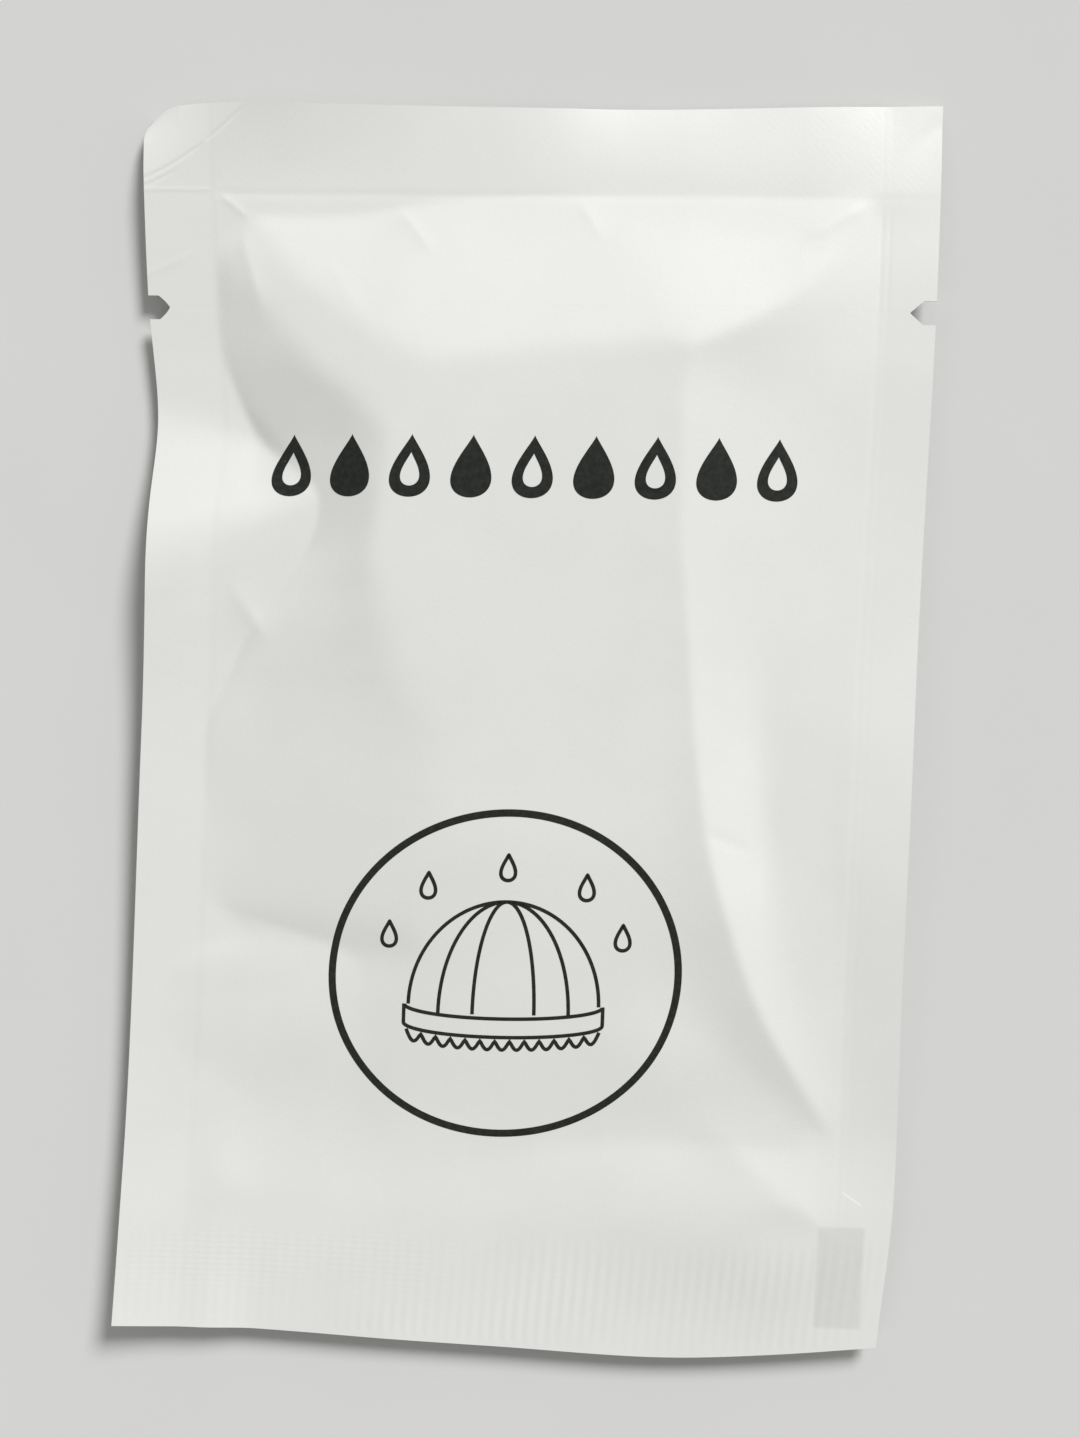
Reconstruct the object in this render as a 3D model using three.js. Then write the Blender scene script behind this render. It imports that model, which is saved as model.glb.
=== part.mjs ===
// Heat-sealed paper sachet with a folded elasticated cap inside.
// Millimetres. The sachet lies on its back: +Z comes out of the printed face,
// +Y points to the tear-off end and +X to the right. The origin is under its middle.
import * as THREE from 'three';

// Outline and seals
const sachetWidth = 90;
const sachetHeight = 142;
const leftSealWidth = 8;
const rightSealWidth = 6.5;
const topSealHeight = 10;
const bottomSealHeight = 13;
const webThickness = 0.2;
const sealantThickness = 0.1;

// Tear line and its two notches
const tearLineBelowTop = 22.5;
const tearGap = 0.3;
const notchDepth = 2.7;
const notchStraight = 1.3;
const notchHeight = 2.7;

// Folded cap: a film folded to and fro, with the elastic hem at the tear-off end
const leafCount = 6;
const leafThickness = 0.34;
const leafSpacing = 0.15;
const capClearance = 0.3;
const capFromLeftSeal = 8;
const capFromRightSeal = 18.5;
const capFromBottomSeal = 26;
const capBelowTearLine = 1.5;
const elasticWidth = 4;
const elasticThickness = 0.4;
const hemGap = 0.3;

// Pocket: depth of the back below the seals, rise of the printed face above them, and slopes
const backDepth = 2.25;
const crownRise = 3.45;
const crownFall = 0.9;
const middleDip = 0.65;
const topSlope = 0.165;
const footSlope = 0.03;
const footBend = 12;
const footBendSlope = 0.076;
const leftLowerSlope = 0.14;
const leftUpperSlope = 0.3;
const rightUpperSlope = 0.145;

// Fold down the right of the printed face: a crest that curves to the lower right corner,
// with a facet on its right
const foldFromRightSeal = 22.5;
const foldRise = 2.75;
const crestSlope = 0.12;
const facetUpperSlope = 0.16;
const facetLowerSlope = 0.3;

// Waves of the side borders, and how far they run into the pocket
const leftCrest = 1.5;
const leftCrestDepth = 11;
const leftValley = 0.95;
const rightCrest = 2;
const rightCrestDepth = 12.5;

// Where the relief lies, as shares of the pocket from its lower left corner
const foldEndShare = 0.08;
const foldFadeShare = 0.2;
const facetFadeShare = 0.6;
const leftCrestShare = 0.62;
const leftCrestReachShare = 0.17;
const leftValleyShare = 0.8;
const leftValleyReachShare = 0.09;
const flankStartShare = 0.5;
const flankEndShare = 0.82;
const flankFadeShare = 0.11;
const rightCrestShare = 0.38;
const rightCrestReachShare = 0.27;
const rightSlopeStartShare = 0.3;
const rightSlopeFadeShare = 0.6;
const dipTopShare = 0.59;
const dipLeftShare = 0.3;
const dipFadeShare = 0.17;

// How finely the curved faces are divided
const leftSteps = 3;
const middleSteps = 11;
const rightSteps = 6;
const bodySteps = 22;
const stripSteps = 4;
const foldSteps = 6;

// Planes and edges that follow from the sizes above
const leftEdge = -sachetWidth / 2;
const rightEdge = sachetWidth / 2;
const bottomEdge = -sachetHeight / 2;
const topEdge = sachetHeight / 2;
const pocketLeft = leftEdge + leftSealWidth;
const pocketRight = rightEdge - rightSealWidth;
const pocketBottom = bottomEdge + bottomSealHeight;
const pocketTop = topEdge - topSealHeight;
const tearLine = topEdge - tearLineBelowTop;
const bandThickness = Math.max(leafThickness, elasticThickness);
const leafPitch = bandThickness + leafSpacing;
const capThickness = bandThickness + (leafCount - 1) * leafPitch;
const capLeft = pocketLeft + capFromLeftSeal;
const capRight = pocketRight - capFromRightSeal;
const capBottom = pocketBottom + capFromBottomSeal;
const capTop = tearLine - capBelowTearLine;
const capFloor = webThickness + capClearance;
const capCover = capFloor + capThickness + capClearance;
const bondBottom = webThickness + backDepth;
const bondTop = bondBottom + sealantThickness;
const notchReach = notchHeight / 2 + tearGap;

// Where the pocket is fully open: the cap with its clearance all round
const openLeft = capLeft - capClearance;
const openRight = capRight + capClearance;
const openBottom = capBottom - capClearance;

function between(value, least, most) {
  return Math.min(Math.max(value, least), most);
}

// Smooth step from 0 at no distance to 1 at a distance of width
function ramp(distance, width) {
  const share = between(distance / width, 0, 1);
  return share * share * (3 - 2 * share);
}

// Smooth bump: 1 at its middle, 0 at its reach on either side and beyond
function bump(value, middle, reach) {
  const away = between(Math.abs(value - middle) / reach, 0, 1);
  return Math.cos(away * Math.PI / 2) ** 2;
}

// Value that goes evenly from a first to a last number
function blend(first, last, share) {
  return first + (last - first) * share;
}

// Places in the pocket as shares: 0 at the left or lower seal, 1 at the right or upper seal
const shareAcross = (x) => between((x - pocketLeft) / (pocketRight - pocketLeft), 0, 1);
const shareAlong = (y) => between((y - pocketBottom) / (pocketTop - pocketBottom), 0, 1);

// 1 where the pocket is fully open, 0 on the seals
function openness(x, y) {
  const across = ramp(x - pocketLeft, openLeft - pocketLeft)
    * ramp(pocketRight - x, pocketRight - openRight);
  const along = ramp(y - pocketBottom, openBottom - pocketBottom)
    * ramp(pocketTop - y, pocketTop - tearLine);
  return across * along;
}

// Waves of the two side borders along the sachet
function leftWave(y) {
  const crest = leftCrest * bump(shareAlong(y), leftCrestShare, leftCrestReachShare);
  return crest - leftValley * bump(shareAlong(y), leftValleyShare, leftValleyReachShare);
}

function rightWave(y) {
  return rightCrest * bump(shareAlong(y), rightCrestShare, rightCrestReachShare);
}

// Lift of the bonded layers, which fades out before it reaches the cap
const rightLiftFade = Math.min(rightCrestDepth, pocketRight - openRight);

function borderLift(x, y) {
  return leftWave(y) * ramp(openLeft - x, openLeft - pocketLeft)
    + rightWave(y) * ramp(x - pocketRight + rightLiftFade, rightLiftFade);
}

// Slope up from the left border. It starts further in where the border's crest runs into the pocket.
function leftFlank(x, y) {
  const along = shareAlong(y);
  const slope = blend(leftLowerSlope, leftUpperSlope, ramp(along - leftCrestShare, flankFadeShare));
  const inset = leftCrestDepth * ramp(along - flankStartShare, flankFadeShare)
    * ramp(flankEndShare - along, flankFadeShare);
  return leftWave(y) + slope * (x - pocketLeft - inset);
}

// Gentle slope up from the right border
function rightFlank(x, y) {
  const inwards = Math.max(pocketRight - x, 0);
  const slope = rightUpperSlope * ramp(shareAlong(y) - rightSlopeStartShare, rightSlopeFadeShare);
  return rightWave(y) * (1 - inwards / rightCrestDepth) + slope * inwards;
}

// Low slope up from the lower seal, steeper past its bend
function footRise(y) {
  const inwards = Math.max(y - pocketBottom, 0);
  return footSlope * inwards + (footBendSlope - footSlope) * Math.max(inwards - footBend, 0);
}

// Face over the cap: it falls a little to the right, and dips in the lower middle
function crownHeight(x, y) {
  const across = shareAcross(x);
  const dip = middleDip * ramp(dipTopShare - shareAlong(y), dipFadeShare)
    * ramp(across - dipLeftShare, dipFadeShare);
  return crownRise - crownFall * across - dip;
}

// Height of the printed face above level seals: the least of the slopes from the borders,
// the crown and the facet of the fold, whose crest stands proud of the crown
function relief(x, y) {
  const along = shareAlong(y);
  const foldLine = pocketRight - foldFromRightSeal * (1 - ((1 - along) / (1 - foldEndShare)) ** 3);
  const foldHeight = foldRise * Math.min((along - foldEndShare) / foldFadeShare, 1);
  const facetSlope = blend(facetUpperSlope, facetLowerSlope, Math.min((1 - along) / facetFadeShare, 1));
  const past = x - foldLine;
  const middle = Math.max(Math.min(crownHeight(x, y), footRise(y)), foldHeight + crestSlope * past);
  const beyond = Math.max(foldHeight - facetSlope * past, rightFlank(x, y));
  const top = topSlope * Math.max(pocketTop - y, 0);
  return Math.min(middle, beyond, top, leftFlank(x, y));
}

// Inner and outer faces of the two webs. The front keeps clear of the cap on its whole way out.
function frontInner(x, y) {
  const cover = bondTop + borderLift(x, y) + (capCover - bondTop) * openness(x, y);
  return Math.max(cover, bondTop + relief(x, y));
}

function frontOuter(x, y) {
  return frontInner(x, y) + webThickness;
}

function backInner(x, y) {
  return bondBottom + borderLift(x, y) - backDepth * openness(x, y);
}

function backOuter(x, y) {
  return backInner(x, y) - webThickness;
}

// Half the notch's height at a distance in from the side edge: straight, then to a point
function notchHalf(inset) {
  const taper = (notchDepth - inset) / (notchDepth - notchStraight);
  return notchHeight / 2 * between(taper, 0, 1);
}

function notchAt(x) {
  return notchHalf(Math.min(x - leftEdge, rightEdge - x));
}

// The two torn edges, on either side of the tear line
const lowerTornEdge = (x) => tearLine - tearGap / 2 - notchAt(x);
const upperTornEdge = (x) => tearLine + tearGap / 2 + notchAt(x);

// Evenly spaced values from one number up to, but not at, another
function spaced(from, to, steps) {
  return Array.from({ length: steps }, (_, step) => from + (to - from) * step / steps);
}

// Columns of the side borders, and of a full-width web with so many steps over the cap
const leftBorder = [leftEdge, leftEdge + notchStraight, leftEdge + notchDepth];
const rightBorder = [rightEdge - notchDepth, rightEdge - notchStraight, rightEdge];

function webColumns(capSteps) {
  return [
    ...leftBorder,
    ...spaced(pocketLeft, openLeft, leftSteps),
    ...spaced(openLeft, openRight, capSteps),
    ...spaced(openRight, pocketRight, rightSteps),
    pocketRight,
    ...rightBorder,
  ];
}

// Rows of the side borders below and above the tear line, which the webs share
const bodyRows = [
  ...spaced(pocketBottom, tearLine - notchReach, bodySteps),
  tearLine - notchReach,
  lowerTornEdge,
];
const stripRows = [upperTornEdge, ...spaced(tearLine + notchReach, pocketTop, stripSteps), pocketTop];

// A closed sheet over a grid of columns (x) and rows (y, or y as a function of x),
// between a lower and an upper face
function sheetSolid(columns, rows, lowerFace, upperFace) {
  const across = columns.length;
  const along = rows.length;
  const layer = across * along;
  const positions = [];
  for (const face of [lowerFace, upperFace]) {
    for (const row of rows) {
      for (const x of columns) {
        const y = typeof row === 'function' ? row(x) : row;
        positions.push(x, y, face(x, y));
      }
    }
  }
  const triangles = [];
  const quad = (a, b, c, d) => triangles.push(a, b, c, a, c, d);
  for (let j = 0; j < along - 1; j += 1) {
    for (let i = 0; i < across - 1; i += 1) {
      const corner = j * across + i;
      quad(corner, corner + across, corner + across + 1, corner + 1);
      quad(layer + corner, layer + corner + 1, layer + corner + across + 1, layer + corner + across);
    }
  }
  const wall = (a, b) => quad(a, b, layer + b, layer + a);
  for (let i = 0; i < across - 1; i += 1) {
    const far = (along - 1) * across + i;
    wall(i, i + 1);
    wall(far + 1, far);
  }
  for (let j = 0; j < along - 1; j += 1) {
    const right = j * across + across - 1;
    wall(right, right + across);
    wall((j + 1) * across, j * across);
  }
  const geometry = new THREE.BufferGeometry();
  geometry.setAttribute('position', new THREE.Float32BufferAttribute(positions, 3));
  geometry.setIndex(triangles);
  geometry.computeVertexNormals();
  return geometry;
}

// The thin bonded layer between the two webs, which waves with the borders
function bondLayer(columns, rows) {
  const lower = (x, y) => bondBottom + borderLift(x, y);
  const upper = (x, y) => bondTop + borderLift(x, y);
  return sheetSolid(columns, rows, lower, upper);
}

const leftBondColumns = [...leftBorder, pocketLeft];
const rightBondColumns = [pocketRight, ...rightBorder];

// Outline of a ribbon folded to and fro, with round folds, seen from its end (x, z).
// Each fold is a half circle, so one side of the ribbon takes its inner radius
// and the other side its outer radius, changing over from fold to fold.
function foldedOutline(thickness) {
  const foldRadius = leafPitch / 2;
  const foldInset = foldRadius + bandThickness / 2;
  const inner = foldRadius - thickness / 2;
  const outer = foldRadius + thickness / 2;
  const ends = [capRight - foldInset, capLeft + foldInset];
  const leftSide = [new THREE.Vector2(ends[1], capFloor + bandThickness / 2 + thickness / 2)];
  const rightSide = [new THREE.Vector2(ends[1], capFloor + bandThickness / 2 - thickness / 2)];
  for (let leaf = 0; leaf < leafCount; leaf += 1) {
    const forward = leaf % 2 === 0;
    const sign = forward ? 1 : -1;
    const end = ends[leaf % 2];
    const centre = capFloor + bandThickness / 2 + leaf * leafPitch + foldRadius;
    const lastStep = leaf < leafCount - 1 ? foldSteps : 0;
    for (let step = 0; step <= lastStep; step += 1) {
      const turn = Math.PI * step / foldSteps;
      const along = (radius) => end + sign * radius * Math.sin(turn);
      const up = (radius) => centre - radius * Math.cos(turn);
      const leftRadius = forward ? inner : outer;
      const rightRadius = forward ? outer : inner;
      leftSide.push(new THREE.Vector2(along(leftRadius), up(leftRadius)));
      rightSide.push(new THREE.Vector2(along(rightRadius), up(rightRadius)));
    }
  }
  return new THREE.Shape([...rightSide, ...leftSide.reverse()]);
}

// A folded ribbon running along Y
function foldedRibbon(thickness, from, to) {
  const geometry = new THREE.ExtrudeGeometry(foldedOutline(thickness), {
    depth: to - from,
    bevelEnabled: false,
  });
  geometry.rotateX(Math.PI / 2);
  geometry.translate(0, to, 0);
  return geometry;
}

// Finishes
const paper = () => new THREE.MeshStandardMaterial({ color: 0xefeeea, roughness: 0.55, metalness: 0 });
const sealant = () => new THREE.MeshStandardMaterial({ color: 0xe9e9e4, roughness: 0.5, metalness: 0 });
const film = () => new THREE.MeshStandardMaterial({ color: 0xf1f4f6, roughness: 0.3, metalness: 0 });
const elastic = () => new THREE.MeshStandardMaterial({ color: 0xf6f5f2, roughness: 0.7, metalness: 0 });

function named(name, geometry, material) {
  const mesh = new THREE.Mesh(geometry, material);
  mesh.name = name;
  return mesh;
}

// Columns of the two webs: the back is flat under the cap
const frontColumns = webColumns(middleSteps);
const backColumns = webColumns(1);

// The sachet below the tear line
const sachetRows = [bottomEdge, ...bodyRows];
const sachet = new THREE.Group();
sachet.add(
  named('front_panel', sheetSolid(frontColumns, sachetRows, frontInner, frontOuter), paper()),
  named('back_panel', sheetSolid(backColumns, sachetRows, backOuter, backInner), paper()),
  named('left_side_seal', bondLayer(leftBondColumns, bodyRows), sealant()),
  named('right_side_seal', bondLayer(rightBondColumns, bodyRows), sealant()),
  named('bottom_seal', bondLayer([leftEdge, rightEdge], [bottomEdge, pocketBottom]), sealant()),
);

// The strip above the tear line, which comes off in one piece
const tearStripRows = [...stripRows, topEdge];
const tearStrip = new THREE.Group();
tearStrip.add(
  named('strip_front', sheetSolid(frontColumns, tearStripRows, frontInner, frontOuter), paper()),
  named('strip_back', sheetSolid(backColumns, tearStripRows, backOuter, backInner), paper()),
  named('strip_left_seal', bondLayer(leftBondColumns, stripRows), sealant()),
  named('strip_right_seal', bondLayer(rightBondColumns, stripRows), sealant()),
  named('top_seal', bondLayer([leftEdge, rightEdge], [pocketTop, topEdge]), sealant()),
);

// The folded cap: its film, and the elastic gathered along its hem
const hemStart = capTop - elasticWidth;
const cap = new THREE.Group();
cap.add(
  named('cap_film', foldedRibbon(leafThickness, capBottom, hemStart - hemGap), film()),
  named('hem_elastic', foldedRibbon(elasticThickness, hemStart, capTop), elastic()),
);

const part = new THREE.Group();
part.add(sachet, tearStrip, cap);

export default part;
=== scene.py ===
"""Heat-sealed white sachet with a folded cap inside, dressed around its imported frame.

Lengths inside the functions are millimetres in the frame's axes: +X to the right across
the printed face, +Y towards the tear-off end and +Z out of the face. A point of the flat
cut paper is called (u, v); planform() says where it lies once the sachet is filled.
A table of knots, {place: value}, holds the points that a smooth curve goes through.
"""

import math

import bpy
import numpy as np
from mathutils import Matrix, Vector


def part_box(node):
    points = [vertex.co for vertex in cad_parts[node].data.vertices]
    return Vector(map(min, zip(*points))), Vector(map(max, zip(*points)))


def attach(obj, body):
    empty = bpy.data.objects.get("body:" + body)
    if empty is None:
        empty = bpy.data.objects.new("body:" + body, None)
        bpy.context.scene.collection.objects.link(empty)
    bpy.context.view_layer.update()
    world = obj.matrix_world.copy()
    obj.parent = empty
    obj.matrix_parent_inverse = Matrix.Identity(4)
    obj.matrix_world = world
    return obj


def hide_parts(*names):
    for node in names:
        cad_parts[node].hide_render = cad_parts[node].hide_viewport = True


bl_info = {
    "name": "Sachet with folded cap",
    "version": (1, 0, 0),
    "blender": (4, 5, 0),
    "location": "3D View > Sidebar > Sachet",
    "description": "Makes a heat-sealed paper sachet, its print and the folded cap inside",
    "category": "Add Mesh",
}

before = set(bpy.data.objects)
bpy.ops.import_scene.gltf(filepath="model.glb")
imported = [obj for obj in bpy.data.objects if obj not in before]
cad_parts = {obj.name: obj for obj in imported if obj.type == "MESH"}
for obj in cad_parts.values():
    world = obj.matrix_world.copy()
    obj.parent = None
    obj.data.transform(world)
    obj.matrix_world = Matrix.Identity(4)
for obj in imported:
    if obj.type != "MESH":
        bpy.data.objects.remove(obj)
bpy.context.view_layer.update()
MM = 0.001
SEED = 7


def node_box(node):
    """Lowest and highest corner of a frame node, in millimetres."""
    low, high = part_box(node)
    return np.array(low) / MM, np.array(high) / MM


FRONT_LOW, FRONT_HIGH = node_box("front_panel")
STRIP_LOW, STRIP_HIGH = node_box("strip_front")
BOND_LOW, BOND_HIGH = node_box("bottom_seal")
FILM_LOW, FILM_HIGH = node_box("cap_film")
HEM_END = node_box("hem_elastic")[1][1]
LEFT = FRONT_LOW[0]
RIGHT = FRONT_HIGH[0]
BOTTOM = FRONT_LOW[1]
TOP = STRIP_HIGH[1]
POCKET_LEFT = node_box("left_side_seal")[1][0]
POCKET_RIGHT = node_box("right_side_seal")[0][0]
POCKET_BOTTOM = BOND_HIGH[1]
POCKET_TOP = node_box("top_seal")[0][1]
TEAR_LINE = (FRONT_HIGH[1] + STRIP_LOW[1]) / 2
BOND_MIDDLE = (BOND_LOW[2] + BOND_HIGH[2]) / 2

# How the filled sachet draws in from its flat cut: the shift of each edge at places along it, and
# how far past its seal the bow of the lower edge reaches.
LEFT_PULL = {-71: -0.15, -43: 0.9, -8: 1.7, 15: 2.2, 26: 2.3, 35: 2.8, 49: 1.5, 66: 0.6, 71: 0.3}
RIGHT_PULL = {-71: -0.7, -53: 0.5, -41: 0.4, -30: 0.2, 0: 0.2, 47: 0.6, 71: 0.6}
BOTTOM_BOW = {-45: 1.1, -30: 0.75, -23: 0.4, -13: -0.2, 0: -0.8, 23: -1.6, 33: -1.0, 45: 0.1}
TOP_BOW = {-45: 0, -38: 0.2, -33: 0.15, -20: 0, 7: 0, 25: 0.3, 45: 0.75}
BOW_REACH = 12

# How the borders wave: the lift of each border at places along it, and the rise of the side borders
# per unit outwards, which bends in over TILT_BEND.
LEFT_LIFT = {-71: 0.7, -62: 0.3, -45: 0.1, -25: 0.1, -5: 0.35, 3: 0.5, 8: 0.8, 13: 1.2, 18: 1.5,
             20.5: 1.4, 23: 1.1, 26: 0.55, 30: -0.1, 36.5: -0.85, 42: -0.7, 50: -0.35, 61: 0.1, 71: 0.1}
RIGHT_LIFT = {-71: 0, -55: 0.1, -40: 0.55, -30: 0.85, -12: 1.45, 0: 1.15, 12: 0.5, 30: 0.2, 44: 0.4,
              52: 0.25, 61: -0.4, 71: -1.0}
TOP_LIFT = {-45: 0.3, -30: 1.1, -20: 0.7, -8: 0.15, 2: -0.45, 10: -1.3, 18: -1.45, 30: -1.15,
            38: -1.05, 45: -1.2}
BOTTOM_LIFT = {-45: 0.3, -30: 0.25, -5: 0.3, 19: 0.8, 32: 1.0, 45: 0.3}
LEFT_TILT = {-71: 0.10, -60: 0.05, -50: 0.03, 5: 0.05, 25: 0.05, 40: 0, 71: 0}
RIGHT_TILT = {-71: 0, -50: 0.02, -35: 0.09, -18: 0.08, -5: 0.03, 8: 0, 71: 0}
TILT_BEND = 0.4

# The left border's crest and valley, which slant as they run in, and where the valley grows shallow.
WAVE_START = -5
LEFT_CREST = 18
LEFT_VALLEY = 36.5
CREST_SLANT = 0.42
VALLEY_SLANT = -0.22
SLANT_REACH = 20
SHALLOW_SHARE = 0.75
SHALLOW_ACROSS = (-34, -24)
SHALLOW_ALONG = (46, 38)

# Where the borders' lifts fade. The left one fades in past the bulge's foot, which counts as no
# further in than LEFT_FADE_LINE below the middle. The right one fades in before the right seal, and
# near the upper seal it goes on growing to the edge. The upper one grows with a curve to the top
# edge. The lower one is a hump that lies HUMP_SHIFT above the seal's inner line.
LEFT_FADE = (8, 1)
LEFT_FADE_LINE = -36
RIGHT_FADE = 9
RIGHT_SPREAD = (-7, 1)
HEAD_CURVE = 1.7
HUMP_SHIFT = {-45: 0, -15: 0, -3: 4, 12: 4.5, 22: 3, 32: 1.2, 45: 0}
HUMP_WIDTH = 9

# The crease of the curled corner: its place on the left edge, its slope and its bow; its mean slope;
# and the width of its bend.
CORNER_CREASE = (62.8, 0.40, 0.022)
CORNER_SLOPE = 0.55
CURL_BEND = 0.1

# The left flank of the bulge: where it starts to rise, how steeply, from what height, and how
# steeply the paper falls from there to the left border.
LEFT_FOOT = {-58: -20, -45: -17, -31: -18, -25: -20, -20: -34.5, -10: -37, 2: -37, 6: -34.8, 12: -32,
             17: -28.5, 22: -26, 28: -27, 33: -30.3, 37.5: -34.2, 42: -36.6, 50: -37, 61: -37}
LEFT_SLOPE = {-58: 0.05, -45: 0.07, -31: 0.09, -25: 0.11, -20: 0.095, -10: 0.1, 2: 0.11, 7: 0.13,
              12: 0.155, 17: 0.22, 22: 0.32, 28: 0.33, 33: 0.3, 41: 0.28, 47: 0.28, 55: 0.3, 61: 0.3}
LEFT_BASE = {-58: 0.05, -45: 0.3, -31: 0.95, -25: 0.9, -20: 0.2, -10: 0.25, 2: 0.55, 8: 0.95, 12: 1.2,
             17: 1.4, 22: 1.35, 28: 0.9, 33: 0.15, 37.5: -0.5, 42: -0.65, 50: -0.35, 61: 0.1}
APRON_SLOPE = {-58: 0.02, -31: 0.035, -25: 0.045, -20: 0.10, -10: 0.3, 61: 0.3}
LEFT_BEND = 0.5

# The slope from the top seal: where it starts to rise, and how steeply. The shoulder between it and
# the left flank: a point, the height there, and the slopes across and along.
TOP_FOOT = {-45: 61, -38: 59.8, -34: 59.3, -30: 58.8, -25: 58.7, -20: 59, -15: 60, -10: 60.6, -5: 61,
            45: 61}
TOP_SLOPE = {-45: 0.2, -30: 0.2, -18: 0.212, 0: 0.21, 20: 0.205, 30: 0.187, 38: 0.172, 45: 0.17}
SHOULDER_AT = (-27, 45)
SHOULDER_HEIGHT = 1.95
SHOULDER_SLOPES = (0.12, -0.085)

# The slope from the lower seal, and what is added to it past a bend; the crown's rise above the
# seals along the sachet, and the place across it where that rise holds.
FOOT_SLOPES = (0.03, 0.046)
FOOT_BEND_AT = 12
FOOT_BEND = 2.5
CROWN = {-58: 2.3, -35: 2.3, -20: 2.7, -12: 3.0, -4: 3.15, 4: 3.3, 12: 3.5, 20: 3.68, 28: 3.82,
         36: 3.9, 45: 3.82, 61: 3.3}
CROWN_MIDDLE = -15

# The fold down the right of the bulge: its place, its height, the slopes beyond it and its bend.
RIDGE = {-58: 39, -45: 36.5, -42.3: 35, -31: 28.5, -21: 24.6, -11.6: 21.7, -5: 20.5, 3: 19.4, 14: 18.2,
         23.4: 17.1, 43: 16.4, 61: 16}
RIDGE_HEIGHT = {-58: -1, -50: -0.2, -43: 0.8, -31: 2.1, -21: 2.75, -11.6: 2.92, 3: 3.0, 14: 3.2,
                25: 3.42, 36: 3.55, 45: 3.48, 61: 2.9}
FACET_SLOPE = {-58: 0.2, -42: 0.2, -30: 0.24, -21: 0.28, -5: 0.28, 10: 0.25, 25: 0.19, 43: 0.17,
               61: 0.16}
RIGHT_SLOPE = {-58: 0.03, -40: 0.06, -25: 0.05, -12: -0.05, 0: -0.02, 12: 0.06, 30: 0.08, 43: 0.14,
               50: 0.18, 61: 0.18}
FOLD_BEND = 0.07

# Creases: height, start, end and width. Folds run out where the bulge does, the others near the
# seals, and the heights of those on the border are shares of the crease depth. Every crease fades
# over a share of its length at each end, and its tip is round over a share of its width.
CREASE_FADE = 0.35
CREASE_TIP = 0.25
POCKET_FOLDS = (
    (0.26, (-35.8, 63.0), (-31.0, 46.0), 1.5),
    (0.12, (38.6, 61.5), (29.0, 56.0), 0.8),
    (0.10, (-17.5, 61.5), (-11.5, 54.0), 0.9),
    (0.07, (-24.5, 54.5), (-18.5, 44.5), 1.6),
    (0.07, (4.0, 61.5), (7.5, 55.5), 0.9),
)
POCKET_CREASES = (
    (0.22, (-36.5, 18.5), (-29.8, 10.0), 1.3),
    (-0.10, (20.5, -10.0), (27.5, -13.0), 0.6),
    (0.44, (20.5, -42.7), (39, -59), 4.2),
)
BORDER_CREASES = (
    (1.2, (-37, 61.6), (-32.6, 58.1), 0.4),
    (0.6, (-47.5, 51.0), (-38.5, 55.0), 0.3),
)

# Low hills and hollows of the pocket: height, middle, and reach across and along.
POCKET_HILLS = (
    (0.15, (19, 48.5), (9, 6)),
    (-0.25, (20, -29), (7, 9)),
    (0.25, (17, -37), (6, 6)),
    (0.2, (-35, -52.5), (4.5, 4)),
)
POCKET_MARGIN = 5
FOLD_RUN_OUT = 0.4
RISE_BEND = 0.05
WAVE_HEIGHT = 0.05
BUCKLE_DEPTH = 0.012
BACK_BEND = 0.1
BACK_EDGE = 0.04

# The patterns of the sealing jaws: where the ribs, the cross lines and the dots fade across the
# sachet, and their least shares; where they start past the seal's inner line and short of the edge;
# and how uneven they are: mean share, its sway, and its least and most.
RIB_FADE = (-28, 5)
RIB_LEAST = 0.55
CROSS_FADE = (18, -15)
CROSS_BETWEEN_RIBS = 0.2
CROSS_ON_RIBS = 0.14
CROSS_MARGINS = (1, 4)
DOT_FADE = (10, 35)
DOT_LEAST = 0.4
RIB_START = (-1.0, 2.5)
DOT_START = (-0.3, 0.9)
EDGE_MARGIN = (0.3, 1.2)
RIB_WEAR = (0.7, 0.4, 0.1, 1.3)
DOT_WEAR = (0.5, 0.7, 0, 1.4)

# How far the jaws press each seal in, as shares of the seal step; a pair is the least and the most
# of a line that fades. Lines: distance past the pocket, share and width.
CORNER_PRESS = 0.5
LEFT_PRESS = 0.7
BOTTOM_PRESS = 0.5
BOTTOM_PRESS_FADE = 3
TOP_LINE_PRESS = (0.3, 0.75)
TOP_LINE_FADE = (25, 0)
TOP_LINE = (0.15, 1, 0.5)
RIGHT_LINE_PRESS = (0.15, 0.55)
RIGHT_LINES = ((0, 1, 0.22), (0.95, 0.6, 0.2))
BACK_EMBOSS = 0.3

# Folds along the corner's crease: distance past it, share of the crease depth, width, and where
# along it the fold runs out; the place and width of the gap in the first one; and a line on the
# left border: distance past the pocket's top, share of the crease depth and width.
CORNER_FOLDS = ((0, 1, 0.2, (-32.5, -34.5)), (-0.75, 0.6, 0.17, (-40.5, -42.5)))
CORNER_GAP = (-37.9, 0.6)
CORNER_GAP_SHARE = 0.8
CORNER_LINE = (0.6, 0.35, 0.2)

# Grids: cells of a notch's parallel and tapered part, how far from the tear the rows bend to it, and
# each web's cells between the notches and its rows in its lower and its upper stretch.
NOTCH_CELLS = (3, 6)
TEAR_BEND = 5
FRONT_GRID = (258, 99, 213)
BACK_GRID = (138, 30, 150)
STRIP_FRONT_GRID = (588, 42, 66)
STRIP_BACK_GRID = (138, 24, 18)
INNER_EVERY = 3
SHARP_ANGLE = math.radians(50)

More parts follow.
